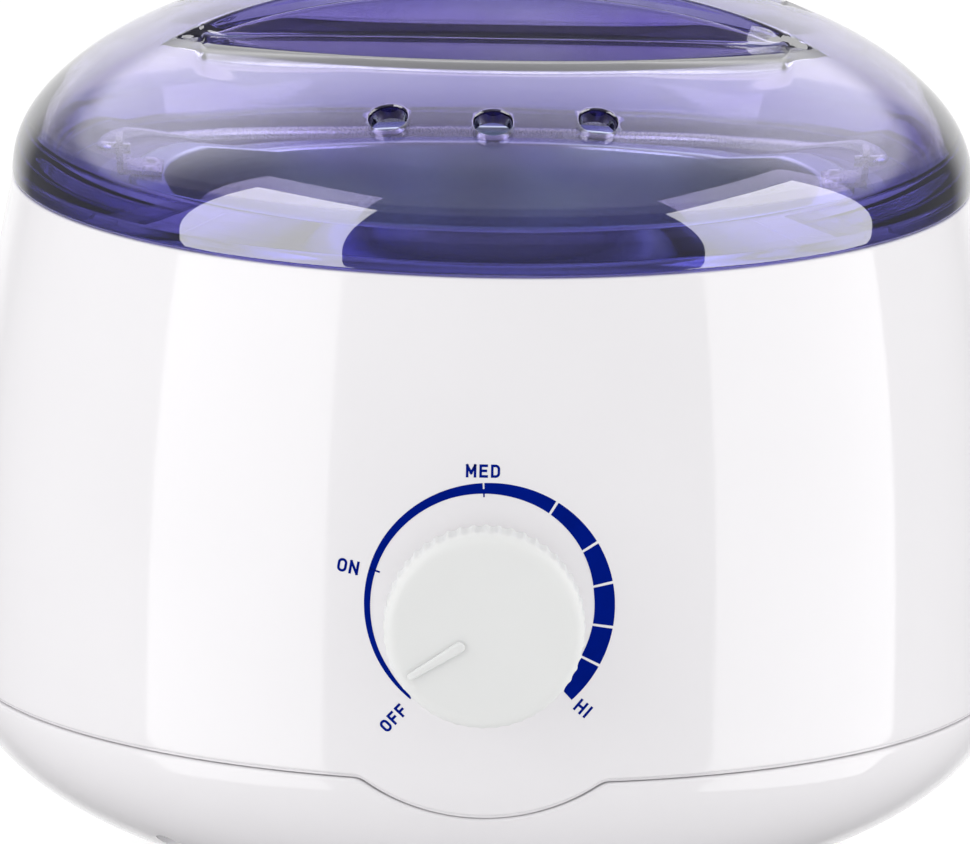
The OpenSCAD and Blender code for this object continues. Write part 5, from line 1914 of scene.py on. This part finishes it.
@dataclass
class Dial:
    """The printed scale and words round the knob.

    Args:
        form: The body's form, which carries the print.
        x: How far the scale's middle stands to the side.
        z: Height of the scale's middle.
        r: Outer radius of the scale.
        start: Where the scale starts at OFF, clockwise from the top.
        end: Where it ends at HI, a turn later.
        lift: How far the ink stands off the wall.
        sink: How far its underside lies in the wall.
        stroke: Width of the words' strokes.
    """

    form: BodyForm
    x: float = 0.73
    z: float = 61.3
    r: float = 21.4
    start: float = 219.0
    end: float = 498.0
    lift: float = 0.04
    sink: float = 0.05
    stroke: float = 0.44

    def outer_r(self, turn: Array) -> Array:
        """Outer radius of the scale, which draws in a little at OFF."""
        return self.r - np.interp(turn, [self.start, 245, 300], [0.6, 0.3, 0.0])

    def inner_r(self, turn: Array) -> Array:
        """Inner radius of the scale, which broadens from OFF to HI."""
        marks = [self.start, 236, 300, 340, 388, 442, 475, self.end]
        return self.outer_r(turn) - np.interp(turn, marks, [0.45, 0.85, 1.25, 1.55, 2.3, 3.45, 3.55, 3.3])

    def plate(self, x: Array, z: Array, loop: bool) -> Mesh:
        """A thin closed sheet of ink on the wall.

        Args:
            x: Distances to the side, in rows across the stroke by columns along it.
            z: Heights, likewise.
            loop: True if its last column joins its first.

        Returns:
            The sheet's mesh.
        """
        top = self.form.on_side(x, z, self.lift)
        under = self.form.on_side(x, z, -self.sink)
        ring = np.concatenate([top, under[::-1]])
        if not loop:
            ends = [np.broadcast_to(e.mean(0, keepdims=True), e.shape) for e in (ring[:, :1], ring[:, -1:])]
            ring = np.concatenate([ends[0], ring, ends[1]], 1)
        return mesh_of("ink", [Sheet(ring, True, loop)])

    def arc(self, start: float, end: float, inward: float = 0.0, outward: float = 0.0) -> Mesh:
        """A stretch of the scale between two turns, reaching further in or out where asked.

        Args:
            start: The first turn, in degrees clockwise from the top.
            end: The last turn.
            inward: How much further in it reaches.
            outward: How much further out it reaches.

        Returns:
            Its mesh.
        """
        turns = np.linspace(start, end, max(2, int(abs(end - start)) + 1))
        share = np.linspace(0, 1, 4)[:, None]
        r = (self.inner_r(turns) - inward) * (1 - share) + (self.outer_r(turns) + outward) * share
        turns = np.radians(turns)
        return self.plate(self.x + r * np.sin(turns), self.z + r * np.cos(turns), False)

    def word(self, text: str, x: float, z: float, turn: float, height: float, space: float) -> list[Mesh]:
        """A word laid on the wall.

        Args:
            text: The word.
            x: Distance of its middle to the side.
            z: Height of its middle.
            turn: How far it is turned, in degrees anticlockwise.
            height: Height of its capitals.
            space: Space between its letters.

        Returns:
            A mesh for each stroke.
        """
        type_face = Lettering(height, self.stroke, space)
        c, s = math.cos(math.radians(turn)), math.sin(math.radians(turn))
        made = []
        for line, loop in type_face.lines(text):
            across, up = np.moveaxis(type_face.ribbon(line, loop), -1, 0)
            made.append(self.plate(x + across * c - up * s, z + across * s + up * c, loop))
        return made

    def build(self) -> Object:
        """Builds the whole print.

        Returns:
            The piece.
        """
        on, med, half = 286.3, 356.5, 0.65
        gaps = [391.9, 418.5, 438.6, 459.5, 478.0]
        parts = [self.arc(self.start, med - 0.4), self.arc(med + 0.4, gaps[0] - half)]
        parts += [self.arc(a + half, b - half) for a, b in zip(gaps, gaps[1:] + [self.end + half])]
        parts += [self.arc(on - 0.45, on + 0.45, 0.75), self.arc(med - 0.4, med + 0.4, 0.6, -1.0)]
        words = (
            ("MED", -0.68, 84.7, 0, 2.25, 0.95),
            ("ON", -23.3, 67.4, -9, 2.35, 0.85),
            ("OFF", -15.2, 41.7, 48, 2.2, 0.9),
            ("HI", 17.0, 43.9, -40, 2.35, 1.0),
        )
        for word in words:
            parts += self.word(*word)
        return object_of("dial_print", joined("dial_print", parts), 30)


class Screw:
    """A pan head screw with a cross recess, its point upwards."""

    def __init__(self, r: float, length: float, head_r: float, head_h: float) -> None:
        """Keeps the screw's sizes."""
        self.r, self.length, self.head_r, self.head_h = r, length, head_r, head_h

    def build(self) -> Object:
        """The screw at the origin, its head's seat at height nought.

        Returns:
            The screw.
        """
        threads = []
        core_r, pitch, z = self.r * 0.82, 1.25, 0.6
        while z < self.length - 1.6:
            threads += [(core_r, z), (self.r, z + pitch * 0.45), (core_r, z + pitch * 0.9)]
            z += pitch
        head = [(0, -self.head_h), (self.head_r * 0.75, -self.head_h, 0.5)]
        head += [(self.head_r, -self.head_h * 0.45, 0.6), (self.head_r, 0, 0.15), (self.r, 0)]
        outline = rounded(head, 4, False) + threads + [(self.r * 0.8, self.length - 1.5), (0, self.length)]
        sheet = lathe(outline, 40, False)
        sheet.shift(0, -AXIS_Y)
        piece = object_of("screw", mesh_of("screw", [sheet]))
        tools = []
        wide, tip = self.head_r * 0.62, self.head_r * 0.2
        for turn in (0, 90):
            cross = bpy.data.meshes.new("cross")
            work = bmesh.new()
            bmesh.ops.create_cone(work, cap_ends=True, segments=4, radius1=wide, radius2=tip, depth=1.5)
            work.to_mesh(cross)
            work.free()
            cross.transform(Matrix.Rotation(math.radians(45), 4, "Z"))
            cross.transform(Matrix.Diagonal((MM, 0.28 * MM, MM, 1)))
            cross.transform(Matrix.Translation((0, 0, (-self.head_h + 0.6) * MM)))
            cross.transform(Matrix.Rotation(math.radians(turn), 4, "Z"))
            tools.append(object_of("cross", cross))
        cut_away(piece, *tools)
        smooth(piece.data, 35)
        return piece


def foot() -> Object:
    """One foot at the origin: a soft-edged pad on a barbed stem.

    Returns:
        The foot.
    """
    pad = [(0, 0.25), (4.6, 0.25, 0.3), (5.2, 0, 0.3), (6.2, 0, 0.6), (7.0, 1.0, 0.6), (7.0, 4.0, 0.35)]
    stem = [(3.0, 4.0), (3.0, 6.5), (3.8, 6.5, 0.2), (2.6, 8.0, 0.4), (0, 8.0)]
    sheet = lathe(rounded(pad + stem, 4, False), 72, False)
    sheet.shift(0, -AXIS_Y)
    return object_of("foot", mesh_of("foot", [sheet]))


# Studio


class Reach(Enum):
    """What a panel of light acts on."""

    SHINE = "reflections alone"
    FILL = "matt surfaces alone"


@dataclass(frozen=True)
class Softbox:
    """A soft panel of light.

    Args:
        name: Name of the light.
        azimuths: Where its upright edges stand, in degrees clockwise from the front, seen from above.
        heights: Heights of its lower and upper edge, in metres.
        away: Distance of its middle from the body's axis, in metres.
        glow: Its radiance, where 1 is white.
        reach: What it acts on.
    """

    name: str
    azimuths: tuple[float, float]
    heights: tuple[float, float]
    away: float
    glow: float
    reach: Reach

    def place(self) -> None:
        """Sets the panel up, facing the body's axis."""
        start, end = (math.radians(a) for a in self.azimuths)
        middle, half = (start + end) / 2, abs(end - start) / 2
        data = bpy.data.lights.new(self.name, "AREA")
        data.shape = "RECTANGLE"
        data.size, data.size_y = 2 * self.away * math.tan(half), self.heights[1] - self.heights[0]
        data.energy = self.glow * math.pi * data.size * data.size_y
        panel = linked(self.name, data)
        way = Vector((math.sin(middle), -math.cos(middle), 0))
        panel.location = way * self.away + Vector((0, AXIS_Y * MM, sum(self.heights) / 2))
        panel.rotation_euler = way.to_track_quat("Z", "Y").to_euler()
        panel.visible_camera = False
        panel.visible_diffuse = self.reach is Reach.FILL
        panel.visible_glossy = panel.visible_transmission = self.reach is Reach.SHINE


class Sky(Nodes):
    """The world's shader under construction."""

    def __init__(self, name: str) -> None:
        """Starts an empty world and makes it the scene's."""
        world = bpy.data.worlds.new(name)
        bpy.context.scene.world = world
        world.use_nodes = True
        super().__init__(world.node_tree)
        self.tree.nodes.clear()
        self.out = self.tree.nodes.new("ShaderNodeOutputWorld")

    def mix(self, share: Socket, one: Any, two: Any) -> Socket:
        """A level between two, by a share."""
        rest = self.math("SUBTRACT", 1.0, share)
        return self.math("ADD", self.math("MULTIPLY", share, two), self.math("MULTIPLY", rest, one))

    def ramp(self, value: Socket, start: float, end: float, low: float, high: float) -> Socket:
        """A soft step from one level to another."""
        made = self.node("ShaderNodeMapRange", value, start, end, low, high, interpolation_type="SMOOTHSTEP")
        return made.outputs[0]


@dataclass
class Studio:
    """The floor, the room's light, the soft panels and the camera.

    Args:
        fill: Level of the room's light on matt surfaces.
        sides: What the light from both sides adds on matt surfaces.
        front: Level that shiny surfaces find before the object and beside it.
        behind: Level that they find behind it.
        ceiling: What the light high behind it adds.
        mirrored_at: How far back, of 1, a mirrored way turns from front to behind.
        through_at: How far back a way through the lid does.
        ceiling_at: How high up, of 1, the light high behind starts.
        ceiling_end: How high up it fades.
        back_at: How far back it starts.
    """

    fill: float = 0.70
    sides: float = 0.9
    front: float = 0.21
    behind: float = 1.0
    ceiling: float = 1.1
    mirrored_at: tuple[float, float] = (0.80, 0.95)
    through_at: tuple[float, float] = (-0.20, 0.30)
    ceiling_at: tuple[float, float] = (0.30, 0.42)
    ceiling_end: tuple[float, float] = (0.68, 1.0)
    back_at: tuple[float, float] = (0.05, 0.40)

    def floor(self) -> None:
        """Lays a plain white floor that keeps the object's shadow."""
        mesh = bpy.data.meshes.new("floor")
        half = 6.0
        edge = [(-half, -half, 0), (half, -half, 0), (half, half, 0), (-half, half, 0)]
        mesh.from_pydata(edge, [], [(0, 1, 2, 3)])
        ground = linked("floor", mesh)
        look = Shader("floor_white")
        dark, light = (0.92, 0.92, 0.92), (0.94, 0.94, 0.94)
        look.feed("Base Color", look.blended(look.noise(look.place(), 400.0), dark, light))
        look.set(Roughness=0.9, Specular_IOR_Level=0.0)
        lift, lift_share = 1.15, 0.8
        glow = look.node("ShaderNodeEmission", (1, 1, 1, 1), lift)
        path = look.node("ShaderNodeLightPath").outputs
        seen = look.math("MAXIMUM", path["Is Camera Ray"], path["Is Glossy Ray"])
        seen = look.math("MAXIMUM", seen, path["Is Transmission Ray"])
        share = look.math("MULTIPLY", seen, lift_share)
        mix = look.node("ShaderNodeMixShader", share, look.skin.outputs[0], glow.outputs[0])
        look.link(mix.outputs[0], look.out.inputs["Surface"])
        mesh.materials.append(look.material)
        ground.visible_glossy = False

    def world(self) -> None:
        """Fills the room with soft light: white behind the object, dim at the sides and behind the camera."""
        room = Sky("studio")
        way = room.node("ShaderNodeTexCoord").outputs["Generated"]
        apart = room.node("ShaderNodeSeparateXYZ", way).outputs
        path = room.node("ShaderNodeLightPath").outputs
        mirrored = room.ramp(apart[1], *self.mirrored_at, self.front, self.behind)
        through = room.ramp(apart[1], *self.through_at, self.front, self.behind)
        through = room.mix(room.math("LESS_THAN", path["Glossy Depth"], 0.5), through, self.behind)
        behind = room.mix(path["Is Transmission Ray"], mirrored, through)
        up = room.ramp(apart[2], *self.ceiling_at, 0.0, self.ceiling)
        over = room.ramp(apart[2], *self.ceiling_end, 1.0, 0.2)
        back = room.ramp(apart[1], *self.back_at, 0.0, 1.0)
        lifted = room.math("MULTIPLY_ADD", room.math("MULTIPLY", up, over), back, behind)
        shiny = room.math("MAXIMUM", path["Is Glossy Ray"], path["Is Transmission Ray"])
        shiny = room.math("MULTIPLY", shiny, room.math("LESS_THAN", path["Diffuse Depth"], 0.5))
        matt = room.math("MULTIPLY_ADD", room.math("MULTIPLY", apart[0], apart[0]), self.sides, self.fill)
        level = room.mix(path["Is Camera Ray"], room.mix(shiny, matt, lifted), 1.0)
        glow = room.node("ShaderNodeBackground", (1, 1, 1, 1), level)
        room.link(glow.outputs[0], room.out.inputs["Surface"])

    def lights(self) -> None:
        """Sets up the soft panels to the left and the right of the camera."""
        for box in (
            Softbox("panel_left", (-76.7, -34.1), (-0.6, 1.3), 1.0, 3.8, Reach.SHINE),
            Softbox("panel_right", (50.1, 99.6), (-0.6, 1.1), 0.97, 3.6, Reach.SHINE),
            Softbox("fill_left", (-76.7, -34.1), (-0.3, 1.3), 1.06, 0.9, Reach.FILL),
            Softbox("fill_right", (50.1, 99.6), (-0.3, 1.1), 1.03, 0.62, Reach.FILL),
        ):
            box.place()

    def camera(self) -> None:
        """Stands the camera where the photograph was taken from."""
        data = bpy.data.cameras.new("camera")
        data.lens, data.sensor_width = 965.8, 36.0
        data.clip_start, data.clip_end = 0.1, 50.0
        view = linked("camera", data)
        away, pitch, roll = 4.5, math.radians(12.17), math.radians(1.0)
        aside, height = -0.00049, 0.0743
        aim = Vector((aside, AXIS_Y * MM, height))
        view.location = aim + away * Vector((0, -math.cos(pitch), math.sin(pitch)))
        turn = (aim - view.location).to_track_quat("-Z", "Y")
        view.rotation_euler = (turn.to_matrix() @ Matrix.Rotation(roll, 3, "Z")).to_euler()
        bpy.context.scene.camera = view

    def build(self) -> None:
        """Sets the whole studio up."""
        bpy.context.scene.view_settings.view_transform = "Standard"
        self.floor()
        self.world()
        self.lights()
        self.camera()


# Main


def dress(piece: Object, body: str, slot: str, finish: Material, *nodes: str) -> None:
    """Gives a new piece its finish, its body and the nodes that it stands for.

    Args:
        piece: The piece.
        body: The body that it moves with.
        slot: The record's material slot that it follows; not used.
        finish: Its material.
        *nodes: The CAD nodes that it replaces.
    """
    piece.data.materials.clear()
    piece.data.materials.append(finish)
    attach(piece, body)
    if nodes:
        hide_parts(*nodes)
    triangles = sum(len(p.vertices) - 2 for p in piece.data.polygons)
    LOG.info("%s on %s: %d triangles", piece.name, body, triangles)


def dress_nodes(looks: dict[str, Material]) -> None:
    """Gives every CAD node that still shows the material of its slot.

    Args:
        looks: The material of each slot.
    """
    for name, node in frame["nodes"].items():
        if node.hide_render:
            continue
        for slot in node.material_slots:
            kind = slot.material.name.split(".")[0]
            slot.material = looks[kind]
        LOG.info("%s keeps its frame, as %s", name, kind)


def main() -> None:
    """Builds the studio and every piece in turn."""
    logging.basicConfig(level=logging.INFO, format="%(name)s: %(message)s")
    Studio().build()
    looks = {slot: finish.material() for slot, finish in finishes().items()}
    form, copies = BodyForm(), ring_tree()
    base = Base(form)
    dress(Housing(form).build(), "housing", "shell", looks["shell"], "upper_housing")
    dress(base.build(), "housing", "shell", looks["shell"], "base")
    dress(Dial(form).build(), "housing", "shell", INK.material())
    dress(Lid().build(copies), "lid", "lid", looks["lid"], "lid")
    dress(Knob().build(flute_tree(), looks["knob"]), "dial", "knob", looks["knob"], "knob")
    dress(Pot().build(), "pot", "pot", looks["pot"], "pot")
    feet = copied(copies, "feet", foot(), base.foot_ring_r, 0.0, CORNER_TURNS, Finish=looks["rubber"])
    dress(feet, "housing", "rubber", looks["rubber"], "foot_1", "foot_2", "foot_3", "foot_4")
    screw = Screw(1.5, 22.0, 3.0, 2.5).build()
    ring_r, seat_z = form.post_ring_r, base.seat_z
    screws = copied(copies, "case_screws", screw, ring_r, seat_z, CORNER_TURNS, Finish=looks["steel"])
    dress(screws, "housing", "steel", looks["steel"], "housing_screws")
    dress_nodes(looks)


if __name__ == "__main__":
    main()
